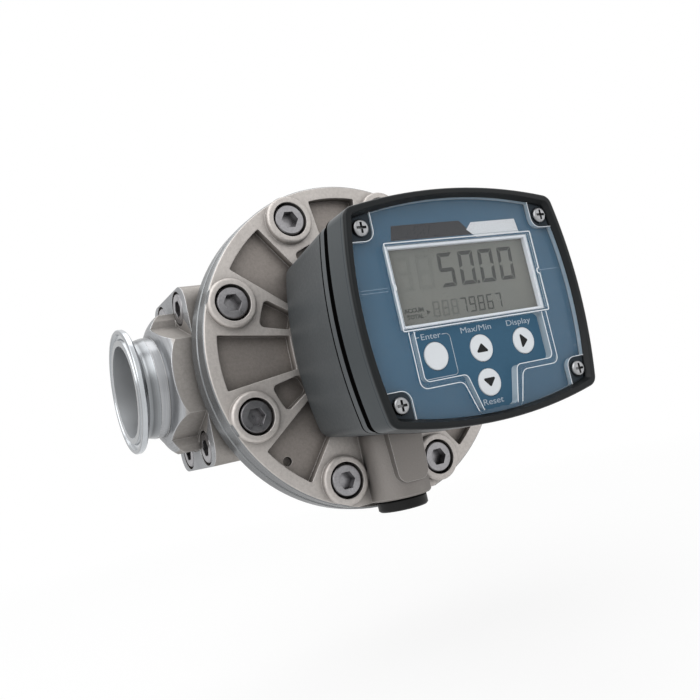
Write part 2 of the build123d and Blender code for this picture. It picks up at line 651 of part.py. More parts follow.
def oval_gear(place, turn_deg, with_magnets):
    """Toothed oval on two bushes; one gear carries the magnets that the sensor counts."""
    back_y, front_y = gear_span()
    outline = Rot(0, 0, turn_deg) * gear_outline()
    outline -= Circle(BUSH_R + FIT_GAP)
    part = slab(Pos(*place) * outline, back_y, front_y)
    if with_magnets:
        for magnet_place in magnet_places(place, turn_deg):
            part -= slab(Pos(*magnet_place) * Circle(MAGNET_R + FIT_GAP), front_y + MAGNET_LENGTH, front_y)
    return part


def magnet_places(place, turn_deg):
    spots = []
    for side in (-1, 1):
        x, z = polar(side * MAGNET_OFFSET, turn_deg)
        spots.append((place[0] + x, place[1] + z))
    return spots


def gear_magnets(place, turn_deg):
    front_y = gear_span()[1]
    magnets = [slab(Pos(*spot) * Circle(MAGNET_R), front_y + MAGNET_LENGTH, front_y)
               for spot in magnet_places(place, turn_deg)]
    return Compound(children=magnets)


def gear_bushes(place):
    back_y, front_y = gear_span()
    sleeve = Pos(*place) * ring(SHAFT_R + RUNNING_GAP, BUSH_R)
    rear = slab(sleeve, back_y, back_y - BUSH_LENGTH)
    front = slab(sleeve, front_y + BUSH_LENGTH, front_y)
    return Compound(children=[rear, front])


def gear_shaft(place):
    shaft = slab(Pos(*place) * Circle(SHAFT_R), CHAMBER_REAR_Y + SHAFT_ROOT_GRIP, JOINT_Y - SHAFT_END_GRIP)
    return chamfer(shaft.edges(), 0.6)


# Hood and electronics behind the display

def hood_screw_places():
    return [(x, z + HOOD_BACK_Z)
            for x in (-HOOD_SCREW_X, HOOD_SCREW_X)
            for z in (-HOOD_SCREW_Z, HOOD_SCREW_Z)]


def panel_screw_places():
    return [(x, z + MODULE_Z)
            for x in (-PANEL_SCREW_X, PANEL_SCREW_X)
            for z in (-PANEL_SCREW_Z, PANEL_SCREW_Z)]


def hood_outline_back(inset):
    return Pos(0, HOOD_BACK_Z) * barrel(HOOD_BACK, HOOD_BACK_CORNER_R, inset)


def hood_envelope(outset):
    """The hood's outer form, larger by outset all round."""
    return loft([face_plane(COVER_FACE_Y) * hood_outline_back(-outset),
                 face_plane(HOOD_FRONT_Y) * module_outline(HOOD_INSET - outset)])


def display_hood():
    """Flared shell from the cover to the display module, with a base wall and four corner posts."""
    outer = hood_envelope(0)
    inner = loft([face_plane(COVER_FACE_Y) * hood_outline_back(HOOD_WALL),
                  face_plane(HOOD_FRONT_Y) * module_outline(HOOD_INSET + HOOD_WALL)])
    inner -= slab(Rectangle(4 * COVER_R, 4 * COVER_R), COVER_FACE_Y, COVER_FACE_Y - HOOD_BASE)
    shell = outer - inner
    for place in panel_screw_places():
        post = slab(Pos(*place) * Circle(PANEL_POST_R), HOOD_FRONT_Y + HOOD_POST_LENGTH, HOOD_FRONT_Y)
        shell += post & outer
    shell -= slab(sensor_outline(2 * SENSOR_POCKET_GAP), COVER_FACE_Y, COVER_FACE_Y - HOOD_BASE)
    shell -= hood_seal()
    for place in hood_screw_places():
        screw_hole = Pos(*place) * Circle(HOOD_SCREW_R + SCREW_HOLE_GAP)
        shell -= slab(screw_hole, COVER_FACE_Y, COVER_FACE_Y - HOOD_BASE)
    for place in panel_screw_places():
        shell -= slab(Pos(*place) * Circle(PANEL_SCREW_R), HOOD_FRONT_Y + HOOD_POST_LENGTH, HOOD_FRONT_Y)
    wire_way_y = COVER_FACE_Y - HOOD_BASE - WIRE_WAY_WALL - WIRE_WAY_R
    wire_way = Plane(origin=(CENTRE_X, wire_way_y, -HOOD_BACK[1] - HOOD_WALL)) * Circle(WIRE_WAY_R)
    return shell - extrude(wire_way, amount=3 * HOOD_WALL)


def hood_seal():
    outline = ring(HOOD_SEAL_IN_R, HOOD_SEAL_IN_R + HOOD_SEAL_WIDTH)
    return slab(outline, COVER_FACE_Y, COVER_FACE_Y - HOOD_SEAL_DEPTH)


def hood_screws():
    screw = socket_screw(HOOD_SCREW_R - THREAD_GAP, HOOD_SCREW_HEAD_R, HOOD_SCREW_HEAD_H,
                         HOOD_SCREW_LENGTH - SCREW_HOLE_GAP, HOOD_SCREW_R * 1.6, HOOD_SCREW_HEAD_H * 0.5)
    seat_y = COVER_FACE_Y - HOOD_BASE
    return Compound(children=[facing_front(CENTRE_X + x, seat_y, z) * screw for x, z in hood_screw_places()])


def sensor_outline(gap):
    return RectangleRounded(2 * (SENSOR_HALF[0] + gap), 2 * (SENSOR_HALF[1] + gap), SENSOR_CORNER_R)


def sensor_board():
    """Small board in the cover's pocket with two magnet sensors on its back."""
    floor_y = COVER_FACE_Y + SENSOR_POCKET_DEPTH
    board_back_y = floor_y - SENSOR_CHIP_H
    board = slab(sensor_outline(0), board_back_y, board_back_y - SENSOR_BOARD_THICK)
    for z in (-SENSOR_CHIP_Z, SENSOR_CHIP_Z):
        board += slab(Pos(0, z) * Circle(SENSOR_CHIP_R), floor_y, board_back_y)
    return board


def module_back():
    """Rear case of the display: closed wall, rim, screw posts and a battery tray inside the hood."""
    part = slab(module_outline(HOOD_INSET), HOOD_FRONT_Y, MODULE_BACK_Y)
    part -= slab(module_outline(HOOD_INSET + BACK_RIM_WIDTH), HOOD_FRONT_Y - BACK_WALL, MODULE_BACK_Y)
    tray_depth = 2 * BATTERY_R + TRAY_WALL
    hollow_size = (BATTERY_LENGTH + 2 * TRAY_GAP, 2 * (BATTERY_R + TRAY_GAP))
    tray = Pos(0, TRAY_Z) * RectangleRounded(hollow_size[0] + 2 * TRAY_WALL, hollow_size[1] + 2 * TRAY_WALL,
                                             TRAY_CORNER_R)
    hollow = Pos(0, TRAY_Z) * Rectangle(*hollow_size)
    part += slab(tray, HOOD_FRONT_Y + tray_depth, HOOD_FRONT_Y)
    part -= slab(hollow, HOOD_FRONT_Y + tray_depth - TRAY_WALL, MODULE_BACK_Y)
    for place in panel_screw_places():
        part += slab(Pos(*place) * Circle(PANEL_POST_R), HOOD_FRONT_Y, MODULE_BACK_Y) & slab(
            module_outline(HOOD_INSET), HOOD_FRONT_Y, MODULE_BACK_Y)
    for place in panel_screw_places():
        part -= slab(Pos(*place) * Circle(PANEL_SCREW_R + PANEL_HOLE_GAP), HOOD_FRONT_Y, MODULE_BACK_Y)
    return part


def battery():
    """Cell lying along X on the tray's floor, with its button end."""
    floor_y = HOOD_FRONT_Y + 2 * BATTERY_R
    start = Plane(origin=(CENTRE_X - BATTERY_LENGTH / 2, floor_y - BATTERY_R, TRAY_Z),
                  x_dir=(0, 1, 0), z_dir=(1, 0, 0))
    cell = extrude(start * Circle(BATTERY_R), amount=BATTERY_LENGTH - BATTERY_BUTTON_H)
    cell = chamfer(cell.edges().filter_by(GeomType.CIRCLE), BATTERY_R * 0.08)
    return cell + extrude(start * Circle(BATTERY_BUTTON_R), amount=BATTERY_LENGTH)


def battery_clip():
    """Spring strip over the cell, seated on the tray's edge."""
    half = BATTERY_R + TRAY_GAP + TRAY_WALL + CLIP_LAND
    strip = Pos(0, TRAY_Z) * Rectangle(CLIP_WIDTH, 2 * half)
    return slab(strip, HOOD_FRONT_Y - BACK_WALL, HOOD_FRONT_Y - BACK_WALL - CLIP_THICK)


def module_gasket():
    outline = module_outline(GASKET_INSET) - module_outline(GASKET_INSET + GASKET_WIDTH)
    for place in panel_screw_places():
        outline -= Pos(*place) * Circle(PANEL_SCREW_R + 2 * PANEL_HOLE_GAP)
    return slab(outline, MODULE_BACK_Y, BEZEL_BACK_Y)


def corner_notches(growth):
    """Squares with one round corner, in the display's corners round the screws."""
    side = CORNER_NOTCH_REACH + CORNER_NOTCH + growth
    notches = Sketch()
    for x, z in panel_screw_places():
        x_sign = 1 if x > 0 else -1
        z_sign = 1 if z > MODULE_Z else -1
        outward = side / 2 - CORNER_NOTCH - growth
        middle = Pos(x + x_sign * outward, z + z_sign * outward)
        notches += middle * RectangleRounded(side, side, CORNER_NOTCH_R)
    return notches


def display_bezel():
    """Deep frame: side band, lip that flares round the window, shelf, corner pads and posts."""
    outer = slab(module_outline(), BEZEL_BACK_Y, BEZEL_FRONT_Y)
    outer = fillet(outer.edges().group_by(Axis.Y)[0], BEZEL_EDGE_R)
    part = outer - slab(module_outline(BEZEL_LIP), SHELF_Y, CLEAR_FRONT_Y)
    part -= loft([face_plane(CLEAR_FRONT_Y) * module_outline(BEZEL_LIP),
                  face_plane(BEZEL_FRONT_Y) * module_outline(BEZEL_LIP - BEZEL_FLARE)])
    part += slab(corner_notches(0) & module_outline(BEZEL_LIP / 2), SHELF_Y, PAD_Y)
    part -= slab(module_outline(SHELF_INSET), SHELF_Y + SHELF_THICK, SHELF_Y)
    part -= slab(module_outline(BEZEL_WALL), BEZEL_BACK_Y, SHELF_Y + SHELF_THICK)
    for place in panel_screw_places():
        post = slab(Pos(*place) * Circle(PANEL_POST_R), BEZEL_BACK_Y, SHELF_Y)
        part += post & outer
    for place in panel_screw_places():
        part -= slab(Pos(*place) * Circle(PANEL_SCREW_R + PANEL_HOLE_GAP), BEZEL_BACK_Y, PAD_Y)
    return part


def key_places():
    return {
        "enter_key": (-KEY_PITCH_X, KEY_ROW_Z),
        "up_key": (0, KEY_ROW_Z),
        "right_key": (KEY_PITCH_X, KEY_ROW_Z),
        "down_key": (0, KEY_LOW_Z),
    }


def fascia_plate():
    part = slab(module_outline(BEZEL_LIP + SLIP_GAP), SHELF_Y, FASCIA_FRONT_Y)
    opening = Rectangle(2 * LCD_FRAME_HALF[0] + 2 * SLIP_GAP, 2 * LCD_FRAME_HALF[1] + 2 * SLIP_GAP)
    part -= slab(Pos(0, LCD_Z) * opening, SHELF_Y, FASCIA_FRONT_Y)
    for place in key_places().values():
        part -= slab(Pos(*place) * Circle(KEY_R + KEY_GAP), SHELF_Y, FASCIA_FRONT_Y)
    return part - slab(corner_notches(SLIP_GAP), SHELF_Y, FASCIA_FRONT_Y)


def cutout_outline():
    outline = Polygon(
        (-CUTOUT_HALF, CUTOUT_TOP_Z),
        (CUTOUT_HALF, CUTOUT_TOP_Z),
        (CUTOUT_HALF, CUTOUT_SHOULDER_Z),
        (CUTOUT_NECK_HALF, CUTOUT_SHOULDER_Z),
        (CUTOUT_FOOT_HALF, CUTOUT_FOOT_Z),
        (-CUTOUT_FOOT_HALF, CUTOUT_FOOT_Z),
        (-CUTOUT_NECK_HALF, CUTOUT_SHOULDER_Z),
        (-CUTOUT_HALF, CUTOUT_SHOULDER_Z),
        align=None,
    )
    return fillet(outline.vertices(), CUTOUT_CORNER_R)


def clear_cover():
    """Clear sheet with corner notches, a cut-out over the keys, and low rims round it and the display."""
    back_y = FASCIA_FRONT_Y - CLEAR_GAP
    part = slab(module_outline(BEZEL_LIP + SLIP_GAP), back_y, CLEAR_FRONT_Y)
    rims = offset(cutout_outline(), RIM_WIDTH)
    rims += Pos(0, LCD_Z) * RectangleRounded(2 * LCD_RIM_HALF[0], 2 * LCD_RIM_HALF[1], CUTOUT_CORNER_R)
    rims -= Pos(0, LCD_Z) * Rectangle(2 * LCD_FRAME_HALF[0], 2 * LCD_FRAME_HALF[1])
    rims &= module_outline(BEZEL_LIP + SLIP_GAP)
    part += slab(rims, CLEAR_FRONT_Y, CLEAR_FRONT_Y - RIM_RISE)
    pocket_half = (LCD_FRAME_HALF[0] + CLEAR_GAP, LCD_FRAME_HALF[1] + CLEAR_GAP)
    lcd_pocket = Pos(0, LCD_Z) * Rectangle(2 * pocket_half[0], 2 * pocket_half[1])
    part -= slab(lcd_pocket, back_y, back_y - LCD_FRAME_PROUD)
    part -= slab(cutout_outline(), back_y, CLEAR_FRONT_Y - RIM_RISE)
    return part - slab(corner_notches(SLIP_GAP), back_y, CLEAR_FRONT_Y - RIM_RISE)


def lcd_frame():
    """Box frame from the board to the clear cover, with a lip in front of the glass."""
    front_y = FASCIA_FRONT_Y - LCD_FRAME_PROUD
    back_y = front_y + LCD_FRAME_DEPTH
    centre = Pos(0, LCD_Z)
    window = Rectangle(2 * LCD_HALF[0], 2 * LCD_HALF[1])
    seat_margin = LCD_GLASS_MARGIN + SLIP_GAP
    seat = Rectangle(2 * (LCD_HALF[0] + seat_margin), 2 * (LCD_HALF[1] + seat_margin))
    part = slab(centre * Rectangle(2 * LCD_FRAME_HALF[0], 2 * LCD_FRAME_HALF[1]), back_y, front_y)
    part -= slab(centre * seat, back_y, front_y + LCD_FRAME_LIP)
    return part - slab(centre * window, back_y, front_y)


def lcd_glass():
    front_y = FASCIA_FRONT_Y - LCD_FRAME_PROUD + LCD_FRAME_LIP
    glass = Rectangle(2 * (LCD_HALF[0] + LCD_GLASS_MARGIN), 2 * (LCD_HALF[1] + LCD_GLASS_MARGIN))
    return slab(Pos(0, LCD_Z) * glass, front_y + LCD_GLASS_THICK, front_y)


def board_front_y():
    return FASCIA_FRONT_Y - LCD_FRAME_PROUD + LCD_FRAME_DEPTH


def circuit_board():
    """Board behind the display with one dome switch under each key."""
    part = slab(module_outline(BOARD_INSET), board_front_y() + BOARD_THICK, board_front_y())
    switch_top_y = SHELF_Y + KEY_FLANGE_THICK + KEY_TRAVEL + DOME_SWITCH_GAP
    for place in key_places().values():
        part += slab(Pos(*place) * Circle(DOME_SWITCH_R), board_front_y(), switch_top_y)
    return part


def key(place):
    """Round key: cap through the fascia, flange behind it."""
    cap = slab(Pos(*place) * Circle(KEY_R), SHELF_Y, FASCIA_FRONT_Y - KEY_PROUD)
    cap = chamfer(cap.edges().group_by(Axis.Y)[0], KEY_PROUD / 2)
    return cap + slab(Pos(*place) * Circle(KEY_FLANGE_R), SHELF_Y + KEY_FLANGE_THICK, SHELF_Y)


def panel_screw():
    """Pan head with a cross recess."""
    head = Cylinder(PANEL_HEAD_R, PANEL_HEAD_H, align=(Align.CENTER, Align.CENTER, Align.MIN))
    head = fillet(head.edges().group_by(Axis.Z)[-1], PANEL_HEAD_H * 0.6)
    cross = Rectangle(*PANEL_SLOT) + Rectangle(PANEL_SLOT[1], PANEL_SLOT[0])
    slot = Plane.XY.offset(PANEL_HEAD_H) * cross
    head -= extrude(slot, amount=-PANEL_HEAD_H * 0.7)
    shank = Cylinder(PANEL_SCREW_R - THREAD_GAP, PANEL_SCREW_LENGTH,
                     align=(Align.CENTER, Align.CENTER, Align.MAX))
    return head + shank


def panel_screws():
    places = [facing_front(CENTRE_X + x, PAD_Y, z) for x, z in panel_screw_places()]
    return Compound(children=[place * panel_screw() for place in places])


def board_posts():
    """Four pillars that hold the board off the rear case."""
    x_half = MODULE[2] - BOARD_INSET - POST_INSET[0]
    z_half = MODULE[3] - BOARD_INSET - POST_INSET[1]
    pillar = Circle(POST_R)
    places = [(x, z + MODULE_Z) for x in (-x_half, x_half) for z in (-z_half, z_half)]
    back_y = HOOD_FRONT_Y - BACK_WALL
    board_back_y = board_front_y() + BOARD_THICK
    return Compound(children=[slab(Pos(x, z) * pillar, back_y, board_back_y) for x, z in places])


UPPER, LOWER = lobe_places()
UPPER_TURN = 0.0
LOWER_TURN = 90.0

NODES = {
    "meter_body": meter_body(),
    "front_cover": front_cover(),
    "cover_seal": cover_seal(),
    "cover_screws": cover_screws(),
    "dowel_pins": dowel_pins(),
    "inlet_ferrule": ferrule(),
    "inlet_adapter": adapter(),
    "inlet_seal": port_seal(),
    "inlet_screws": adapter_screws(),
    "outlet_ferrule": at_outlet(ferrule()),
    "outlet_adapter": at_outlet(adapter()),
    "outlet_seal": at_outlet(port_seal()),
    "outlet_screws": at_outlet(adapter_screws()),
    "upper_shaft": gear_shaft(UPPER),
    "lower_shaft": gear_shaft(LOWER),
    "upper_oval_gear": oval_gear(UPPER, UPPER_TURN, True),
    "lower_oval_gear": oval_gear(LOWER, LOWER_TURN, False),
    "upper_gear_bushes": gear_bushes(UPPER),
    "lower_gear_bushes": gear_bushes(LOWER),
    "gear_magnets": gear_magnets(UPPER, UPPER_TURN),
    "conduit_plug": conduit_plug(),
    "plug_seal": plug_seal(),
    "sensor_board": sensor_board(),
    "display_hood": display_hood(),
    "hood_seal": hood_seal(),
    "hood_screws": hood_screws(),
    "module_back": module_back(),
    "battery": battery(),
    "battery_clip": battery_clip(),
    "module_gasket": module_gasket(),
    "display_bezel": display_bezel(),
    "fascia_plate": fascia_plate(),
    "clear_cover": clear_cover(),
    "lcd_frame": lcd_frame(),
    "lcd_glass": lcd_glass(),
    "circuit_board": circuit_board(),
    "board_posts": board_posts(),
    "panel_screws": panel_screws(),
}
for key_name, key_place in key_places().items():
    NODES[key_name] = key(key_place)

os.makedirs("parts", exist_ok=True)
for name, part in NODES.items():
    export_step(part, f"parts/{name}.step")
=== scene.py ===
import math

import bmesh
import bpy
from mathutils import Matrix, Vector


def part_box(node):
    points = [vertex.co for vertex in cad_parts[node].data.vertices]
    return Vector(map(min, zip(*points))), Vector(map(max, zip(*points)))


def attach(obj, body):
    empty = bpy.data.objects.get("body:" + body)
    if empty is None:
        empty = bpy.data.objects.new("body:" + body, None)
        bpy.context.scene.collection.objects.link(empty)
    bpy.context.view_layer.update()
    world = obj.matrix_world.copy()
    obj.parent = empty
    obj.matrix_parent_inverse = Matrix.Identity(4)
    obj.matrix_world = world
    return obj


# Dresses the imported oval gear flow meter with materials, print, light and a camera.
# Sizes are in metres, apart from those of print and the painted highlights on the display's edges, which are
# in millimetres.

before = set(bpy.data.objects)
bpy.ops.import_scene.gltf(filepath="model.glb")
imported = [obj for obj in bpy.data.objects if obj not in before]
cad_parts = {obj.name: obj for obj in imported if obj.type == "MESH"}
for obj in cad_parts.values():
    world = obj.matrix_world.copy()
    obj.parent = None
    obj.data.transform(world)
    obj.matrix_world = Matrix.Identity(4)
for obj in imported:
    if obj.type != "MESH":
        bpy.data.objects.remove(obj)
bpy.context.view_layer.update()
scene = bpy.context.scene
scene.view_settings.view_transform = "Standard"

MM = 0.001
CENTRE_X = 0.112            # midway between the ports
DISPLAY_Z = -0.004          # middle height of the display
COVER_FACE_Y = -0.0535      # front of the cover's ribs

# Fronts of the display's parts, read from the CAD
FASCIA_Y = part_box("fascia_plate")[0][1]
LCD_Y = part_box("lcd_glass")[0][1]
KEY_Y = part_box("up_key")[0][1]
RIM_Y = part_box("clear_cover")[0][1]
CLEAR_Y = -0.1496           # front of the clear cover at its corner notches

# The adapter's turned dome, as in the CAD: distances inward from the ferrule's face, and radii
DOME_START = 0.0155
DOME_DEPTH = 0.008
DOME_FACE_R = 0.0267
DOME_R = 0.0374
DOME_BULGE = 0.917          # the dome's profile is (1 + bulge) t - bulge t squared
SEAT_X = 0.0305
BORE_R = 0.0239
DISC_RIM_R = 0.0843         # outside this the cover and the body are turned

# Limits of the conduit entry in front of the cover's face: where its mask is zero, and where it is one
ENTRY_HALF_WIDTH = (0.0175, 0.0165)
ENTRY_TOP_Z = (-0.034, -0.044)
ENTRY_FRONT_Y = (-0.0538, -0.0560)

# Seams between hood, rear case and bezel, painted near-black as shade in their gaps, and the strip round the
# bezel's lip, which has a painted sheen, as ranges of Y
HOOD_SEAM = (-0.1290, -0.1268)
CASE_SEAM = (-0.1345, -0.1318)
BEZEL_SEAM = (-0.1369, -0.1340)
LIP_STRIP = (-0.1488, -0.1484)
LIP_START_Y = (-0.1506, -0.1500)    # the bezel's lip ends at the first, and its side starts at the second

# The Mix node has sockets for each kind of data. These are the ones for colour.
MIX_SHARE, MIX_FIRST, MIX_SECOND, MIX_RESULT = 0, 6, 7, 2


# Node trees

class Graph:
    """The node tree of a material or a world, with short calls for the nodes used here."""

    def __init__(self, owner):
        owner.use_nodes = True
        self.nodes = owner.node_tree.nodes
        self.links = owner.node_tree.links

    def feed(self, socket, value):
        """Links an output to the socket, or sets the socket's own number or colour."""
        if isinstance(value, bpy.types.NodeSocket):
            self.links.new(value, socket)
        elif socket.type == "RGBA":
            socket.default_value = (*value, 1.0)
        else:
            socket.default_value = value

    def feed_named(self, node, inputs):
        """Feeds inputs by name, with underscores for spaces."""
        for name, value in inputs.items():
            self.feed(node.inputs[name.replace("_", " ")], value)

    def new(self, kind, **inputs):
        """Adds a shader node and feeds its inputs."""
        node = self.nodes.new("ShaderNode" + kind)
        self.feed_named(node, inputs)
        return node

    def surface(self, **inputs):
        """Feeds the material's own shader."""
        self.feed_named(self.nodes["Principled BSDF"], inputs)

    def math(self, operation, *values):
        node = self.new("Math")
        node.operation = operation
        for socket, value in zip(node.inputs, values):
            self.feed(socket, value)
        return node.outputs["Value"]

    def mix(self, share, first, second, mode="MIX"):
        node = self.new("Mix")
        node.data_type = "RGBA"
        node.blend_type = mode
        self.feed(node.inputs[MIX_SHARE], share)
        self.feed(node.inputs[MIX_FIRST], first)
        self.feed(node.inputs[MIX_SECOND], second)
        return node.outputs[MIX_RESULT]

    def ramp(self, value, stops):
        """Colour ramp from (position, grey or colour) stops."""
        node = self.new("ValToRGB", Fac=value)
        elements = node.color_ramp.elements
        while len(elements) < len(stops):
            elements.new(0.5)
        for element, (position, colour) in zip(elements, stops):
            if isinstance(colour, (int, float)):
                colour = (colour, colour, colour)
            element.position = position
            element.color = (*colour, 1.0)
        return node.outputs["Color"]

    def shade(self, base, value, stops):
        """The base colour times a grey that follows the value."""
        return self.mix(1.0, base, self.ramp(value, stops), "MULTIPLY")

    def noise(self, scale, detail=3.0, roughness=0.55, stretch=(1, 1, 1)):
        where = self.new("TexCoord").outputs["Object"]
        vector = self.new("Mapping", Vector=where, Scale=stretch).outputs["Vector"]
        node = self.new("TexNoise", Vector=vector, Scale=scale, Detail=detail, Roughness=roughness)
        return node.outputs["Fac"]

    def place(self, axis):
        """The surface point's X, Y or Z, in the CAD's frame."""
        return self.new("SeparateXYZ", Vector=self.new("TexCoord").outputs["Object"]).outputs[axis]

    def facing(self, axis):
        """The X, Y or Z part of the surface's normal."""
        return self.new("SeparateXYZ", Vector=self.new("NewGeometry").outputs["Normal"]).outputs[axis]

    def from_middle(self, axis, middle):
        """Distance from the middle along one axis."""
        return self.math("ABSOLUTE", self.math("SUBTRACT", self.place(axis), middle))

    def step(self, value, low, high):
        """Zero at low, one at high, and level beyond them. Low may be the larger number."""
        node = self.new("MapRange", Value=value, From_Min=low, From_Max=high)
        node.clamp = True
        return node.outputs["Result"]

    def both(self, first, second):
        """The product of two masks."""
        return self.math("MULTIPLY", first, second)

    def radius(self, first_axis, second_axis, centre=(0.0, 0.0)):
        """Distance from a line along the third axis."""
        squares = []
        for axis, middle in zip((first_axis, second_axis), centre):
            offset = self.math("SUBTRACT", self.place(axis), middle)
            squares.append(self.math("MULTIPLY", offset, offset))
        return self.math("SQRT", self.math("ADD", *squares))

    def soft_edges(self, radius):
        """Normal that turns smoothly across edges."""
        node = self.new("Bevel", Radius=radius)
        node.samples = 6
        return node.outputs["Normal"]

    def edge_glint(self, radius):
        """Where the painted edge highlight goes: one along edges, zero on flat faces, where the rounded
        normal leaves the face's own.
        """
        product = self.new("VectorMath")
        product.operation = "DOT_PRODUCT"
        self.feed(product.inputs[0], self.soft_edges(radius))
        self.feed(product.inputs[1], self.new("NewGeometry").outputs["Normal"])
        return self.step(product.outputs["Value"], 0.99, 0.80)

    def painted_crevice_shade(self, base, distance, dark):
        """The base colour with painted shade: darker where other surfaces stand close by."""
        node = self.new("AmbientOcclusion", Distance=distance)
        node.samples = 8
        return self.shade(base, node.outputs["AO"], [(0.25, dark), (0.92, 1.0)])

    def bump(self, height, strength, distance, normal):
        node = self.new("Bump", Height=height, Strength=strength, Distance=distance, Normal=normal)
        return node.outputs["Normal"]


def new_material(name):
    mat = bpy.data.materials.new(name)
    return mat, Graph(mat)


# Masks: one on the named part of a surface, zero elsewhere

def entry_mask(graph):
    """The conduit entry, which is given a darker colour: painted shade."""
    beside = graph.step(graph.from_middle("X", CENTRE_X), *ENTRY_HALF_WIDTH)
    below = graph.step(graph.place("Z"), *ENTRY_TOP_Z)
    return graph.both(graph.both(beside, below), graph.step(graph.place("Y"), *ENTRY_FRONT_Y))


def disc_rim_mask(graph):
    """The turned rim of the cover and of the body's flange."""
    radius = graph.radius("X", "Z", (CENTRE_X, 0.0))
    return graph.step(radius, DISC_RIM_R - 0.0001, DISC_RIM_R + 0.0001)


def inward_distance(graph):
    """Distance from the nearer ferrule's face, along the flow."""
    return graph.math("SUBTRACT", CENTRE_X, graph.from_middle("X", CENTRE_X))


def hub_turned_mask(graph):
    """The adapters' turned dome, neck and screw seats."""
    inward = inward_distance(graph)
    along = graph.step(inward, DOME_START, DOME_START + DOME_DEPTH)
    slope = graph.math("MULTIPLY_ADD", along, -DOME_BULGE, 1 + DOME_BULGE)
    profile = graph.math("MULTIPLY_ADD", graph.both(along, slope), DOME_R - DOME_FACE_R, DOME_FACE_R)
    dome = graph.step(graph.math("SUBTRACT", graph.radius("Y", "Z"), profile), -0.0005, -0.0003)
    neck = graph.step(inward, DOME_START + 0.0001, DOME_START - 0.0001)
    past_seat = graph.step(inward, SEAT_X + 0.0001, SEAT_X + 0.0003)
    return graph.both(graph.math("MAXIMUM", dome, neck), graph.math("SUBTRACT", 1.0, past_seat))


def bore_mask(graph):
    """The wall of the flow passage."""
    return graph.step(graph.radius("Y", "Z"), BORE_R + 0.00005, BORE_R - 0.00005)


def bezel_side_mask(graph):
    """The bezel's outer side, which gets a painted reflection: faces that look away from the display's
    middle, behind its lip.
    """
    across = graph.math("MULTIPLY", graph.math("SUBTRACT", graph.place("X"), CENTRE_X), graph.facing("X"))
    above = graph.math("MULTIPLY", graph.math("SUBTRACT", graph.place("Z"), DISPLAY_Z), graph.facing("Z"))
    outward = graph.step(graph.math("ADD", across, above), 0.0, 0.001)
    return graph.both(outward, graph.step(graph.place("Y"), *LIP_START_Y))


def band_mask(graph, low, high):
    """A range of Y with crisp ends."""
    crisp = 0.0001
    past_low = graph.step(graph.place("Y"), low, low + crisp)
    return graph.both(past_low, graph.step(graph.place("Y"), high, high - crisp))


# Kinds of material

# Stretch of the noise along each axis, for marks left by turning about that axis
TURNING = {"x": (1.0, 0.02, 0.02), "y": (0.02, 1.0, 0.02)}

# Painted reflections on the ferrule and tube from its face inward: a bright rim, a darker taper, a bright
# waist
FERRULE_REACH = 0.0160
FERRULE_REFLECTION_BANDS = [(0.0, 0.42), (0.02, 0.80), (0.17, 0.80), (0.20, 0.24), (0.31, 0.30), (0.35, 0.52),
                 (0.43, 0.46), (0.47, 0.26), (0.58, 0.38), (0.69, 0.46)]
BORE_COLOUR = (0.50, 0.515, 0.53)
BORE_ROUGH = (0.50, 0.50, 0.50)

# The casting: where the ribs' colour turns into the pockets' darker one, which is painted shade, how strong
# its bump is, and the painted highlight along its edges
POCKET_SHADE_Y = (COVER_FACE_Y + 0.0004, COVER_FACE_Y + 0.0036)
CAST_BUMP, TURNED_BUMP = 0.35, 0.04
TURNED_ROUGH = (0.24, 0.24, 0.24)
GLINT_SHARE = 0.55
GLINT_COLOUR = (0.85, 0.83, 0.81)

# Distance from the middle over which the liquid crystal darkens with painted shade
LCD_END_SHADE = (0.0300, 0.0356)


def cast_steel(name, rib, floor, turned_mask, turned_colour, axis, entry=None):
    """Bead-blasted casting with turned faces. Its pocket floors are darker with painted shade, and its edges
    glint with a painted highlight.
    """
    mat, graph = new_material(name)
    grain = graph.noise(scale=1500.0, detail=2.0, roughness=0.6)
    pits = graph.noise(scale=620.0, detail=5.0, roughness=0.65)
    # The pocket floors' darker colour is painted shade
    base = graph.mix(graph.step(graph.place("Y"), *POCKET_SHADE_Y), rib, floor)
    base = graph.shade(base, graph.noise(scale=38.0, detail=4.0), [(0.30, 0.92), (0.72, 1.06)])
    base = graph.shade(base, pits, [(0.34, 0.90), (0.60, 1.03)])
    # Painted shade: the conduit entry darker than the rest of the casting
    if entry is not None:
        base = graph.mix(entry_mask(graph), base, entry)
    mask = turned_mask(graph)
    marks = graph.noise(scale=1800.0, detail=3.0, roughness=0.7, stretch=TURNING[axis])
    base = graph.mix(mask, base, graph.shade(turned_colour, marks, [(0.30, 0.80), (0.70, 1.12)]))
    rough = graph.mix(mask, graph.ramp(grain, [(0.3, 0.46), (0.7, 0.62)]), TURNED_ROUGH)
    strength = graph.math("MULTIPLY_ADD", mask, TURNED_BUMP - CAST_BUMP, CAST_BUMP)
    # Painted highlight along the edges
    base = graph.mix(graph.math("MULTIPLY", graph.edge_glint(0.0005), GLINT_SHARE), base, GLINT_COLOUR)
    # Painted shade where other surfaces stand close by
    base = graph.painted_crevice_shade(base, distance=0.008, dark=0.46)
    pitted = graph.bump(pits, strength, distance=0.00016, normal=graph.soft_edges(0.0006))
    grained = graph.bump(grain, strength, distance=0.00012, normal=pitted)
    graph.surface(Base_Color=base, Roughness=rough, Normal=grained, Metallic=0.70,
                  Specular_Tint=(0.5, 0.5, 0.5))
    return mat


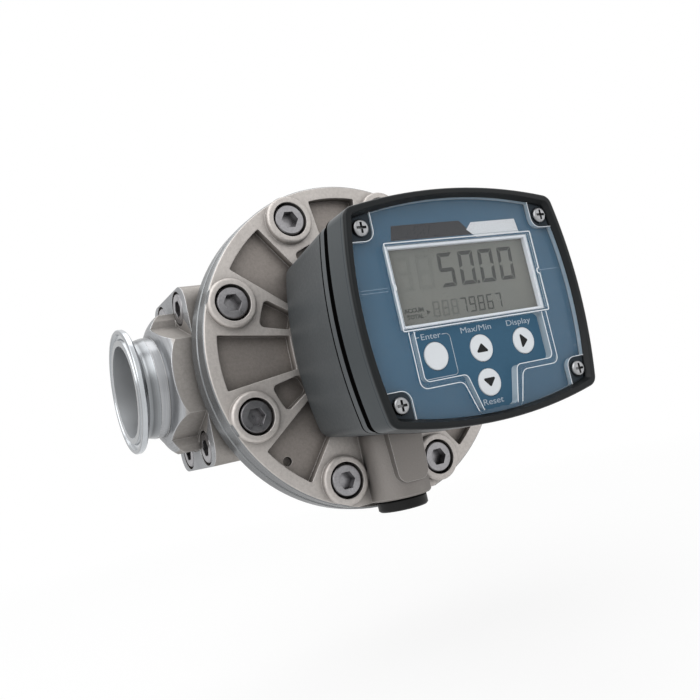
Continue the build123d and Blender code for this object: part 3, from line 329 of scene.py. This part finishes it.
def turned_steel(name, colour, rough, axis, ferrule=False):
    """Fine turning marks: rings about the axis. On a ferrule, bands of painted reflection run along it."""
    mat, graph = new_material(name)
    rings = graph.noise(scale=2600.0, detail=3.0, roughness=0.7, stretch=TURNING[axis])
    smear = graph.noise(scale=55.0)
    base = graph.shade(colour, rings, [(0.30, 0.88), (0.70, 1.06)])
    base = graph.shade(base, smear, [(0.35, 0.90), (0.70, 1.05)])
    # Painted shade where other surfaces stand close by
    base = graph.painted_crevice_shade(base, distance=0.006, dark=0.45)
    finish = graph.ramp(smear, [(0.3, rough * 0.8), (0.7, rough * 1.25)])
    if ferrule:
        # Painted reflections: lighter and darker bands along the ferrule and tube
        base = graph.shade(base, graph.step(inward_distance(graph), 0.0, FERRULE_REACH), FERRULE_REFLECTION_BANDS)
        bore = bore_mask(graph)
        base = graph.mix(bore, base, BORE_COLOUR)
        finish = graph.mix(bore, finish, BORE_ROUGH)
    normal = graph.bump(rings, strength=0.10, distance=0.00004, normal=graph.soft_edges(0.0003))
    graph.surface(Base_Color=base, Roughness=finish, Normal=normal, Metallic=1.0)
    return mat


def screw_steel(name, colour, rough):
    """Plain steel, dark in its sockets and slots: painted shade."""
    mat, graph = new_material(name)
    fine = graph.noise(scale=900.0, detail=4.0, roughness=0.6)
    base = graph.shade(colour, fine, [(0.30, 0.80), (0.68, 1.08)])
    # Painted shade where other surfaces stand close by
    base = graph.painted_crevice_shade(base, distance=0.003, dark=0.25)
    finish = graph.ramp(graph.noise(scale=160.0, detail=2.0), [(0.3, rough * 0.8), (0.7, rough * 1.3)])
    normal = graph.bump(fine, strength=0.12, distance=0.00005, normal=graph.soft_edges(0.0003))
    graph.surface(Base_Color=base, Roughness=finish, Normal=normal, Metallic=1.0)
    return mat


def moulded(name, colour, rough, grain=900.0, depth=0.00005, edge=0.0004, specular=0.5, contrast=1.0,
            side=None, bands=()):
    """Moulded plastic with a fine texture. Each band is a range of Y and its colour, without shine."""
    mat, graph = new_material(name)
    fine = graph.noise(scale=grain, detail=3.0, roughness=0.6)
    clouds = [(0.30, 1.0 - 0.09 * contrast), (0.70, 1.0 + 0.07 * contrast)]
    specks = [(0.30, 1.0 - 0.06 * contrast), (0.70, 1.0 + 0.05 * contrast)]
    base = graph.shade(graph.shade(colour, graph.noise(scale=24.0), clouds), fine, specks)
    # The side colour is a painted reflection on the bezel's outward faces
    if side is not None:
        base = graph.mix(bezel_side_mask(graph), base, side)
    shine = specular
    # The bands paint shade in the seams, and a sheen round the bezel's lip
    for reach, band_colour in bands:
        inside = band_mask(graph, *reach)
        base = graph.mix(inside, base, band_colour)
        shine = graph.math("MULTIPLY", graph.math("SUBTRACT", 1.0, inside), shine)
    finish = graph.ramp(fine, [(0.3, rough * 0.88), (0.7, rough * 1.12)])
    graph.surface(Base_Color=base, Roughness=finish, Specular_IOR_Level=shine)
    if edge:
        rounded_edge = graph.soft_edges(edge)
        graph.surface(Normal=graph.bump(fine, strength=0.25, distance=depth, normal=rounded_edge))
    return mat


def clear_plastic(name):
    """Polished sheet, with its cut edges pale and less clear: a painted highlight."""
    mat, graph = new_material(name)
    # Faces across Y are clear; the cut edges are paler and less clear, a painted highlight
    face = graph.step(graph.math("ABSOLUTE", graph.facing("Y")), 0.45, 0.75)
    sheet = graph.ramp(graph.noise(scale=60.0), [(0.3, (0.95, 0.975, 1.0)), (0.7, (0.98, 0.99, 1.0))])
    clearness = graph.math("MULTIPLY_ADD", face, 0.65, 0.35)
    graph.surface(Base_Color=graph.mix(face, (0.40, 0.48, 0.54), sheet), Transmission_Weight=clearness,
                  Roughness=0.0, IOR=1.25)
    return mat


def display_glass(name):
    """Grey-olive liquid crystal with a soft painted shade darkening towards its ends."""
    mat, graph = new_material(name)
    broad = graph.noise(scale=32.0, detail=2.0)
    base = graph.ramp(broad, [(0.3, (0.150, 0.153, 0.138)), (0.7, (0.172, 0.176, 0.160))])
    # Painted shade towards the ends
    ends = graph.step(graph.from_middle("X", CENTRE_X), *LCD_END_SHADE)
    base = graph.mix(ends, base, (0.118, 0.120, 0.110))
    finish = graph.ramp(broad, [(0.3, 0.40), (0.7, 0.46)])
    graph.surface(Base_Color=base, Roughness=finish, Specular_IOR_Level=0.1)
    return mat


def ink(name, colour):
    """Matt print."""
    mat, graph = new_material(name)
    base = graph.shade(colour, graph.noise(scale=1600.0, detail=2.0), [(0.3, 0.90), (0.7, 1.06)])
    graph.surface(Base_Color=base, Roughness=0.45, Specular_IOR_Level=0.15)
    return mat


# The meter's materials

RIB = (0.535, 0.503, 0.478)
# The pocket floors' colour, darker than the ribs': painted shade
POCKET = (0.295, 0.268, 0.248)
BODY = (0.38, 0.360, 0.342)
BLOCK = (0.34, 0.320, 0.302)
# Painted shade on the conduit entry
SHADED_ENTRY = (0.25, 0.233, 0.220)
TURNED_RIM = (0.225, 0.233, 0.240)
TURNED_HUB = (0.41, 0.42, 0.435)
# Painted shade in the seams between the parts
SEAM_SHADE = (0.002, 0.002, 0.002)
# Painted reflection: the bezel's side lighter than its black lip
BEZEL_SIDE_REFLECTION = (0.042, 0.049, 0.053)
# Painted sheen on a strip round the bezel's lip
LIP_SHEEN = (0.040, 0.049, 0.058)

COVER_CAST = cast_steel("cover_casting", RIB, POCKET, disc_rim_mask, TURNED_RIM, "y", entry=SHADED_ENTRY)
BODY_CAST = cast_steel("body_casting", BODY, BODY, disc_rim_mask, TURNED_RIM, "y")
HUB_CAST = cast_steel("hub_casting", BLOCK, BLOCK, hub_turned_mask, TURNED_HUB, "x")
TUBE = turned_steel("turned_tube", (0.68, 0.71, 0.74), 0.22, "x", ferrule=True)
GEAR_STEEL = turned_steel("gear_steel", (0.50, 0.50, 0.51), 0.3, "y")
SCREW = screw_steel("screw_metal", (0.31, 0.305, 0.315), 0.32)
PANEL_SCREW = screw_steel("panel_screw_metal", (0.34, 0.345, 0.355), 0.30)
HOOD = moulded("hood_plastic", (0.056, 0.063, 0.067), 0.46, grain=700.0, specular=0.30,
               bands=[(HOOD_SEAM, SEAM_SHADE)])
REAR_CASE = moulded("rear_case_plastic", (0.060, 0.067, 0.072), 0.42, specular=0.30,
                    bands=[(CASE_SEAM, SEAM_SHADE)])
BEZEL = moulded("bezel_plastic", (0.009, 0.0105, 0.0115), 0.32, edge=0.0005, specular=0.16, side=BEZEL_SIDE_REFLECTION,
                bands=[(BEZEL_SEAM, SEAM_SHADE), (LIP_STRIP, LIP_SHEEN)])
RUBBER = moulded("black_rubber", (0.004, 0.004, 0.004), 0.65, specular=0.1)
PLUG = moulded("plug_plastic", (0.012, 0.012, 0.012), 0.45, specular=0.15)
SEAL = moulded("white_seal", (0.66, 0.66, 0.62), 0.5)
FASCIA = moulded("fascia_film", (0.040, 0.103, 0.168), 0.40, grain=500.0, edge=0.0, specular=0.1,
                 contrast=0.6)
LCD_FRAME = moulded("frame_plastic", (0.66, 0.69, 0.73), 0.35, grain=700.0, depth=0.00001, contrast=0.4)
KEY = moulded("key_plastic", (0.65, 0.68, 0.71), 0.40, grain=300.0, depth=0.0, edge=0.0007, contrast=0.3)
# Pale plastic for the painted highlights on the clear sheet's edges
EDGE_HIGHLIGHT_PAINT = moulded("painted_edge_highlight", (0.70, 0.74, 0.78), 0.20, grain=300.0, edge=0.0, contrast=0.5)
BOARD = moulded("board_laminate", (0.02, 0.13, 0.06), 0.40)
CELL = moulded("cell_sleeve", (0.03, 0.12, 0.06), 0.30)
BUSH = moulded("carbon_bush", (0.02, 0.02, 0.02), 0.50)
CLEAR = clear_plastic("clear_plastic")
LCD = display_glass("display_glass")
SEGMENT = ink("segment_ink", (0.048, 0.050, 0.047))
SEGMENT_FINE = ink("small_segment_ink", (0.050, 0.053, 0.049))
GHOST = ink("ghost_ink", (0.140, 0.144, 0.130))
GHOST_FINE = ink("small_ghost_ink", (0.108, 0.111, 0.101))
PRINT = ink("print_ink", (0.38, 0.44, 0.50))
LINE_PRINT = ink("line_ink", (0.17, 0.25, 0.32))
KEY_INK = ink("key_ink", (0.010, 0.010, 0.011))
PLATE_DARK = ink("dark_plate_ink", (0.026, 0.026, 0.029))
PLATE_LIGHT = ink("light_plate_ink", (0.62, 0.64, 0.66))

NODE_MATERIALS = {
    "meter_body": BODY_CAST, "front_cover": COVER_CAST,
    "inlet_adapter": HUB_CAST, "outlet_adapter": HUB_CAST,
    "inlet_ferrule": TUBE, "outlet_ferrule": TUBE,
    "upper_shaft": GEAR_STEEL, "lower_shaft": GEAR_STEEL,
    "upper_oval_gear": GEAR_STEEL, "lower_oval_gear": GEAR_STEEL, "gear_magnets": GEAR_STEEL,
    "upper_gear_bushes": BUSH, "lower_gear_bushes": BUSH,
    "cover_screws": SCREW, "inlet_screws": SCREW, "outlet_screws": SCREW, "hood_screws": SCREW,
    "dowel_pins": SCREW, "battery_clip": SCREW, "board_posts": SCREW, "panel_screws": PANEL_SCREW,
    "cover_seal": RUBBER, "plug_seal": RUBBER, "hood_seal": RUBBER, "module_gasket": RUBBER,
    "inlet_seal": SEAL, "outlet_seal": SEAL,
    "conduit_plug": PLUG, "display_hood": HOOD, "module_back": REAR_CASE, "display_bezel": BEZEL,
    "fascia_plate": FASCIA, "clear_cover": CLEAR, "lcd_frame": LCD_FRAME, "lcd_glass": LCD,
    "enter_key": KEY, "up_key": KEY, "right_key": KEY, "down_key": KEY,
    "circuit_board": BOARD, "sensor_board": BOARD, "battery": CELL,
}
for node_name, node_material in NODE_MATERIALS.items():
    node_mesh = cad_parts[node_name].data
    node_mesh.materials.clear()
    node_mesh.materials.append(node_material)

# Light passes the clear sheet, as it does in the real one
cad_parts["clear_cover"].visible_shadow = False
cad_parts["clear_cover"].visible_diffuse = False


# Flat shapes, as (x, z) points in millimetres

MID_X, MID_Z = CENTRE_X / MM, DISPLAY_Z / MM
ARC_STEPS = 6


def arc(x, z, radius, start, end, steps=ARC_STEPS):
    """Points round the centre (x, z), between two angles in degrees."""
    angles = [math.radians(start + (end - start) * step / steps) for step in range(steps + 1)]
    return [(x + radius * math.cos(angle), z + radius * math.sin(angle)) for angle in angles]


def rounded(corners, radius, closed=True):
    """Points of a line through the corners, each turned into an arc."""
    points = []
    count = len(corners)
    for index, (x, z) in enumerate(corners):
        if not closed and index in (0, count - 1):
            points.append((x, z))
            continue
        here = Vector((x, z))
        before = (Vector(corners[index - 1]) - here).normalized()
        after = (Vector(corners[(index + 1) % count]) - here).normalized()
        half = before.angle(after) / 2
        centre = here + (before + after).normalized() * radius / math.sin(half)
        first = (here + before * radius / math.tan(half) - centre).normalized()
        last = (here + after * radius / math.tan(half) - centre).normalized()
        for step in range(ARC_STEPS + 1):
            points.append(tuple(centre + first.slerp(last, step / ARC_STEPS) * radius))
    return points


def stroke(points, width):
    """Outlines of the straight runs of a line. Each run is a quarter width longer at both ends."""
    outlines = []
    for (x0, z0), (x1, z1) in zip(points, points[1:]):
        length = math.hypot(x1 - x0, z1 - z0)
        along_x, along_z = (x1 - x0) / length * width, (z1 - z0) / length * width
        nx, nz = -along_z / 2, along_x / 2
        ex, ez = along_x / 4, along_z / 4
        outlines.append([(x0 - ex + nx, z0 - ez + nz), (x1 + ex + nx, z1 + ez + nz),
                         (x1 + ex - nx, z1 + ez - nz), (x0 - ex - nx, z0 - ez - nz)])
    return outlines


SEGMENTS = {
    "0": "abcdef", "1": "bc", "2": "abged", "3": "abgcd", "4": "fgbc", "5": "afgcd",
    "6": "afgedc", "7": "abc", "8": "abcdefg", "9": "abcdfg",
}
DIGIT_SLANT = 0.075         # sideways lean per height


def level_bar(letter, width, level, line, gap):
    """Outline of segment a, g or d, which lies across the digit at a height."""
    left, right = gap, width - gap
    if letter == "a":
        return [(left, level), (right, level), (right - line, level - line), (left + line, level - line)]
    if letter == "d":
        return [(left, level), (left + line, level + line), (right - line, level + line), (right, level)]
    half = line / 2
    return [(left + half, level - half), (right - half, level - half), (right, level),
            (right - half, level + half), (left + half, level + half), (left, level)]


def upright_bar(u, low, high, height, line, gap):
    """Outline of segment b, c, e or f, which stands at the digit's side u."""
    inward = line if u == 0 else -line
    low_cut = line if low == 0 else line / 2
    high_cut = line if high == height else line / 2
    points = [(u, low + gap), (u + inward, low + gap + low_cut),
              (u + inward, high - gap - high_cut), (u, high - gap)]
    return points if u == 0 else points[::-1]


def digit(character, x, z, width, height, line):
    """Outlines of the lit bars of a seven-segment digit whose lower left corner is at (x, z)."""
    gap = line * 0.12
    half = height / 2
    levels = {"a": height, "g": half, "d": 0}
    uprights = {"f": (0, half, height), "b": (width, half, height), "e": (0, 0, half), "c": (width, 0, half)}
    outlines = []
    for letter in SEGMENTS[character]:
        if letter in levels:
            bar = level_bar(letter, width, levels[letter], line, gap)
        else:
            bar = upright_bar(*uprights[letter], height, line, gap)
        outlines.append([(x + u + DIGIT_SLANT * v, z + v) for u, v in bar])
    return outlines


def digits(characters, x, z, pitch, width, height, line):
    """Outlines of a row of digits, a pitch apart."""
    outlines = []
    for index, character in enumerate(characters):
        outlines += digit(character, x + index * pitch, z, width, height, line)
    return outlines


TRIANGLE_HALF, TRIANGLE_HEIGHT, TRIANGLE_CORNER = 2.3, 2.6, 0.5


def triangle(x, z, turn_deg):
    """Wide triangle with soft corners, pointing up before it is turned."""
    slope = math.degrees(math.atan2(TRIANGLE_HALF, TRIANGLE_HEIGHT))
    low = -TRIANGLE_HEIGHT / 2
    corners = ((0.0, -low, slope, 180 - slope), (-TRIANGLE_HALF, low, 180 - slope, 270),
               (TRIANGLE_HALF, low, 270, 360 + slope))
    points = []
    for corner_x, corner_z, start, end in corners:
        points += arc(corner_x, corner_z, TRIANGLE_CORNER, start, end, 5)
    turn = math.radians(turn_deg)
    return [(x + u * math.cos(turn) - v * math.sin(turn), z + u * math.sin(turn) + v * math.cos(turn))
            for u, v in points]


# Pieces made from flat shapes

PRINT_THICK = 0.00004
PRINT_LIFT = 0.00003        # print starts this far in front of its surface
LETTER_HALF_THICK = 0.02    # in millimetres
CAP_HEIGHT = 0.70           # height of the built-in font's capitals, as a share of its size


def add_mesh(name, mesh, mat, body="base"):
    """A piece of the scene, which rides on a body of the CAD."""
    obj = bpy.data.objects.new(name, mesh)
    scene.collection.objects.link(obj)
    mesh.materials.clear()
    mesh.materials.append(mat)
    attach(obj, body)


def mesh_from_curve(name, curve):
    """The mesh of a curve or a text, which is itself removed."""
    holder = bpy.data.objects.new(name + "_curve", curve)
    scene.collection.objects.link(holder)
    bpy.context.view_layer.update()
    mesh = bpy.data.meshes.new_from_object(holder.evaluated_get(bpy.context.evaluated_depsgraph_get()))
    bpy.data.objects.remove(holder)
    mesh.name = name
    return mesh


def plates(name, outlines, y, mat, thick=PRINT_THICK, body="base"):
    """Thin plates that face -Y and stand in front of y."""
    bm = bmesh.new()
    for outline in outlines:
        front = [bm.verts.new((x * MM, y - thick, z * MM)) for x, z in outline]
        back = [bm.verts.new((x * MM, y, z * MM)) for x, z in outline]
        bm.faces.new(front)
        bm.faces.new(back[::-1])
        for index in range(len(outline)):
            after = (index + 1) % len(outline)
            bm.faces.new((front[index], back[index], back[after], front[after]))
    bmesh.ops.recalc_face_normals(bm, faces=bm.faces)
    mesh = bpy.data.meshes.new(name)
    bm.to_mesh(mesh)
    bm.free()
    add_mesh(name, mesh, mat, body)


def lettering(name, words, x, z, height, width, y, mat, weight=0.0):
    """Words centred on x and standing on z, fitted to a cap height and a width, facing -Y."""
    curve = bpy.data.curves.new(name, "FONT")
    curve.body = words
    curve.align_x = "CENTER"
    curve.extrude = LETTER_HALF_THICK
    curve.size = height / CAP_HEIGHT
    curve.offset = weight
    mesh = mesh_from_curve(name, curve)
    span = max(v.co.x for v in mesh.vertices) - min(v.co.x for v in mesh.vertices)
    for v in mesh.vertices:
        across, up, out = v.co
        v.co = ((x + across * width / span) * MM, y - (out + LETTER_HALF_THICK) * MM, (z + up) * MM)
    add_mesh(name, mesh, mat)


def bead(name, points, radius, y, closed=True):
    """Painted highlight on an edge of the clear sheet: a fine round line of pale plastic along the points."""
    curve = bpy.data.curves.new(name, "CURVE")
    curve.dimensions = "3D"
    curve.bevel_depth = radius * MM
    curve.bevel_resolution = 2
    spline = curve.splines.new("POLY")
    spline.points.add(len(points) - 1)
    for point, (x, z) in zip(spline.points, points):
        point.co = (x * MM, y, z * MM, 1.0)
    spline.use_cyclic_u = closed
    add_mesh(name, mesh_from_curve(name, curve), EDGE_HIGHLIGHT_PAINT)


# What the liquid crystal shows

# Each row of digits: its z and pitch, and a digit's width, height and line
RATE_ROW = (4.5, 10.55, 7.7, 14.3, 1.65)
TOTAL_ROW = (-7.1, 4.62, 3.3, 6.5, 0.66)
RATE_X, GHOST_RATE_X = 99.6, 78.4
TOTAL_X, GHOST_TOTAL_X = 106.4, 92.6
DECIMAL_POINT = [(118.2, 4.5), (119.5, 4.5), (119.6, 5.8), (118.3, 5.8)]
POINTER = [(89.6, -5.5), (89.6, -3.7), (91.4, -4.6)]

# Each small word's z and width
LCD_WORDS = (("lcd_word_upper", "ACCUM", -3.9, 9.4), ("lcd_word_lower", "TOTAL", -6.5, 7.8))
LCD_WORD_X, LCD_WORD_HEIGHT, LCD_WORD_WEIGHT = 83.7, 1.6, 0.10

LCD_FRONT = LCD_Y - PRINT_LIFT
plates("lcd_rate_digits", digits("5000", RATE_X, *RATE_ROW), LCD_FRONT, SEGMENT)
plates("lcd_decimal_point", [DECIMAL_POINT], LCD_FRONT, SEGMENT)
plates("lcd_total_digits", digits("79867", TOTAL_X, *TOTAL_ROW), LCD_FRONT, SEGMENT_FINE)
plates("lcd_ghost_total", digits("888", GHOST_TOTAL_X, *TOTAL_ROW), LCD_FRONT, GHOST_FINE)
plates("lcd_ghost_rate", digits("88", GHOST_RATE_X, *RATE_ROW), LCD_FRONT, GHOST)
plates("lcd_pointer", [POINTER], LCD_FRONT, SEGMENT)
for piece, words, foot_z, width in LCD_WORDS:
    lettering(piece, words, LCD_WORD_X, foot_z, LCD_WORD_HEIGHT, width, LCD_FRONT, SEGMENT_FINE,
              LCD_WORD_WEIGHT)

# Print on the fascia

# Each label's words, x, z, cap height and width
LABELS = (
    ("label_enter", "Enter", 88.6, -15.3, 2.4, 9.6),
    ("label_max_min", "Max/Min", 111.5, -15.2, 2.4, 15.8),
    ("label_display", "Display", 134.4, -15.2, 2.4, 13.4),
    ("label_reset", "Reset", 111.6, -45.6, 2.5, 10.4),
)

# The printed frame round the enter key, which the key's word interrupts
KEY_BOX_RIGHT, KEY_BOX_TOP, KEY_BOX_LOW = 97.8, -14.1, -31.0
KEY_BOX_TOP_R, KEY_BOX_LOW_R = 1.8, 1.6
KEY_BOX_TOP_START, KEY_BOX_LOW_END = 94.2, 81.2
BEFORE_WORD = [(81.4, KEY_BOX_TOP), (83.0, KEY_BOX_TOP)]
KEY_BOX_LINE = 0.32

# The two bare name plates, the line under the dark one, and the lines at the fascia's sides with their widths
DARK_PLATE = [(81.4, 31.5), (79.9, 25.3), (121.0, 25.3), (115.4, 31.7)]
LIGHT_PLATE = [(118.2, 27.6), (122.4, 24.1), (146.3, 24.3), (145.4, 30.8), (121.3, 30.6)]
LIGHT_PLATE_THICK = 0.00006
UNDERLINE = [(78.4, 24.6), (122.0, 24.6)]
UNDERLINE_WIDTH = 0.45
SIDE_LINES = (
    ([(61.5, 6.8), (73.6, 6.8)], 0.25),
    ([(61.5, 5.5), (73.4, 5.5)], 0.25),
    ([(150.4, 6.8), (163.6, 6.8)], 0.3),
)

FASCIA_FRONT = FASCIA_Y - PRINT_LIFT
for piece, words, middle_x, foot_z, height, width in LABELS:
    lettering(piece, words, middle_x, foot_z, height, width, FASCIA_FRONT, PRINT)
key_box = [(KEY_BOX_TOP_START, KEY_BOX_TOP)]
key_box += arc(KEY_BOX_RIGHT - KEY_BOX_TOP_R, KEY_BOX_TOP - KEY_BOX_TOP_R, KEY_BOX_TOP_R, 90, 0)
key_box += arc(KEY_BOX_RIGHT - KEY_BOX_LOW_R, KEY_BOX_LOW + KEY_BOX_LOW_R, KEY_BOX_LOW_R, 0, -90)
key_box += [(KEY_BOX_LOW_END, KEY_BOX_LOW)]
box_outlines = stroke(key_box, KEY_BOX_LINE) + stroke(BEFORE_WORD, KEY_BOX_LINE)
plates("enter_outline", box_outlines, FASCIA_FRONT, PRINT)
plates("dark_name_plate", [DARK_PLATE], FASCIA_FRONT, PLATE_DARK)
plates("light_name_plate", [LIGHT_PLATE], FASCIA_FRONT, PLATE_LIGHT, LIGHT_PLATE_THICK)
plates("name_plate_underline", stroke(UNDERLINE, UNDERLINE_WIDTH), FASCIA_FRONT, KEY_INK)
side_lines = [outline for line, width in SIDE_LINES for outline in stroke(line, width)]
plates("side_lines", side_lines, FASCIA_FRONT, LINE_PRINT)

# Painted highlight along the edge of the display window's rim, with a small step in each side

BEAD_Y = RIM_Y + 0.0001
WINDOW_HALF = 37.7
WINDOW_LOW, WINDOW_HIGH = -11.4, 23.8
WINDOW_CORNER_R, WINDOW_BEAD_R = 0.5, 0.26
STEP_IN, STEP_LOW, STEP_HIGH = 1.1, 5.0, 7.0

window_left = MID_X - WINDOW_HALF
window = [(window_left, WINDOW_LOW), (window_left, STEP_LOW), (window_left + STEP_IN, STEP_LOW),
          (window_left + STEP_IN, STEP_HIGH), (window_left, STEP_HIGH), (window_left, WINDOW_HIGH)]
window += [(2 * MID_X - x, z) for x, z in window[::-1]]
bead("window_rim_edge", rounded(window, WINDOW_CORNER_R), WINDOW_BEAD_R, BEAD_Y)

# Painted highlights along the inner and outer edges of the rim round the keys' cut-out

CUT_HALF, CUT_TOP, CUT_SHOULDER, CUT_FOOT = 33.2, -11.9, -32.0, -47.2
CUT_NECK, CUT_FOOT_HALF = 13.0, 8.8
CUT_INNER_R, CUT_OUTER_R, CUT_BEAD_R = 2.4, 3.2, 0.20
RIM_WIDTH = 2.5


def cut_edge(outward):
    """The cut-out's left edge, moved outward, from its middle line."""
    return [(-CUT_HALF - outward, CUT_TOP), (-CUT_HALF - outward, CUT_SHOULDER - outward),
            (-CUT_NECK - outward, CUT_SHOULDER - outward), (-CUT_FOOT_HALF - outward, CUT_FOOT)]


for side, sign in (("left", 1), ("right", -1)):
    for edge, outward, corner_r in (("inner", 0.0, CUT_INNER_R), ("outer", RIM_WIDTH, CUT_OUTER_R)):
        path = rounded([(MID_X + sign * x, z) for x, z in cut_edge(outward)], corner_r, closed=False)
        bead(f"cutout_{edge}_edge_{side}", path, CUT_BEAD_R, BEAD_Y, closed=False)

# Painted highlights along the edges of the corner notches round the screws

SCREW_OFF_X, SCREW_OFF_Z = 46.1, 34.8
NOTCH, NOTCH_R, NOTCH_REACH, NOTCH_BEAD_R = 5.4, 4.4, 6.2, 0.16

for x_sign, side in ((-1, "left"), (1, "right")):
    for z_sign, level in ((-1, "low"), (1, "high")):
        x, z = MID_X + x_sign * SCREW_OFF_X, MID_Z + z_sign * SCREW_OFF_Z
        corner = [(x - x_sign * NOTCH, z + z_sign * NOTCH_REACH), (x - x_sign * NOTCH, z - z_sign * NOTCH),
                  (x + x_sign * NOTCH_REACH, z - z_sign * NOTCH)]
        path = rounded(corner, NOTCH_R, closed=False)
        bead(f"notch_edge_{side}_{level}", path, NOTCH_BEAD_R, CLEAR_Y, closed=False)

# Symbols on the keys, which ride with them

SYMBOL_LIFT, SYMBOL_THICK = 0.00002, 0.00003


def key_centre(key):
    """X and Z of a key's middle, in millimetres."""
    low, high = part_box(key)
    return (low[0] + high[0]) / 2 / MM, (low[2] + high[2]) / 2 / MM


for body, turn in (("up", 0), ("right", -90), ("down", 180)):
    symbol = triangle(*key_centre(body + "_key"), turn)
    plates(body + "_key_symbol", [symbol], KEY_Y - SYMBOL_LIFT, KEY_INK, SYMBOL_THICK, body)


# Floor, backdrop, light and camera

FLOOR_Z, FLOOR_HALF = -0.16, 6.0
SHADOW_REACH = (0.25, 0.90)     # the floor's glow grows from its near to its full share over this distance
NEAR_GLOW = 0.84                # the rest of the floor's colour there is lit paint, which shows the shadow
WORLD_LIGHT = 0.55              # the world's strength for rays that light the object
AIM = (0.10, -0.06, 0.0)
CAMERA_LENS = 38.603
CAMERA_PLACE = (-0.08357, -0.38805, -0.04316)
CAMERA_RIGHT = (0.86268, -0.45674, -0.21721)
CAMERA_UP = (0.14154, -0.19429, 0.97068)


def seen_white(graph):
    """One for the rays that should see plain white."""
    path = graph.new("LightPath")
    seen = graph.math("MAXIMUM", path.outputs["Is Camera Ray"], path.outputs["Is Transmission Ray"])
    return graph.math("MAXIMUM", seen, path.outputs["Is Glossy Ray"])


def set_world():
    world = bpy.data.worlds.new("studio")
    scene.world = world
    graph = Graph(world)
    strength = graph.math("MULTIPLY_ADD", seen_white(graph), 1.0 - WORLD_LIGHT, WORLD_LIGHT)
    graph.feed_named(graph.nodes["Background"], {"Color": (1.0, 1.0, 1.0), "Strength": strength})


def floor_paint():
    """Pale paint that shows the object's shadow near it, and fades to plain white further out."""
    mat, graph = new_material("floor_paint")
    graph.surface(Base_Color=(0.86, 0.86, 0.86), Roughness=0.9)
    far = graph.step(graph.radius("X", "Y", (CENTRE_X, 0.0)), *SHADOW_REACH)
    share = graph.math("MULTIPLY_ADD", far, 1.0 - NEAR_GLOW, NEAR_GLOW)
    blend = graph.new("MixShader", Fac=graph.math("MULTIPLY", seen_white(graph), share))
    graph.feed(blend.inputs[1], graph.nodes["Principled BSDF"].outputs["BSDF"])
    graph.feed(blend.inputs[2], graph.new("Emission", Strength=1.0).outputs["Emission"])
    graph.feed(graph.nodes["Material Output"].inputs["Surface"], blend.outputs["Shader"])
    return mat


def add_floor():
    corners = [(x * FLOOR_HALF, y * FLOOR_HALF, FLOOR_Z) for x, y in ((-1, -1), (1, -1), (1, 1), (-1, 1))]
    mesh = bpy.data.meshes.new("floor")
    mesh.from_pydata(corners, [], [(0, 1, 2, 3)])
    mesh.materials.append(floor_paint())
    floor = bpy.data.objects.new("floor", mesh)
    scene.collection.objects.link(floor)


def soft_box(name, place, size, power):
    """Rectangular lamp that faces the object."""
    light = bpy.data.lights.new(name, "AREA")
    light.shape = "RECTANGLE"
    light.size, light.size_y = size
    light.energy = power
    lamp = bpy.data.objects.new(name, light)
    scene.collection.objects.link(lamp)
    lamp.location = place
    lamp.rotation_euler = (Vector(AIM) - Vector(place)).to_track_quat("-Z", "Y").to_euler()


def add_camera():
    """The photograph's view."""
    data = bpy.data.cameras.new("camera")
    data.sensor_width = 36.0
    data.lens = CAMERA_LENS
    data.clip_start = 0.01
    camera = bpy.data.objects.new("camera", data)
    scene.collection.objects.link(camera)
    scene.camera = camera
    right, up = Vector(CAMERA_RIGHT), Vector(CAMERA_UP)
    turn = Matrix((right, up, right.cross(up))).transposed().to_4x4()
    camera.matrix_world = Matrix.Translation(CAMERA_PLACE) @ turn


set_world()
add_floor()
soft_box("key_light", place=(-0.65, -0.60, 0.80), size=(1.4, 1.4), power=12.0)
soft_box("fill_light", place=(0.95, -0.85, 0.25), size=(1.0, 1.0), power=1.2)
soft_box("top_light", place=(0.10, 0.25, 1.05), size=(1.2, 0.8), power=5.0)
add_camera()
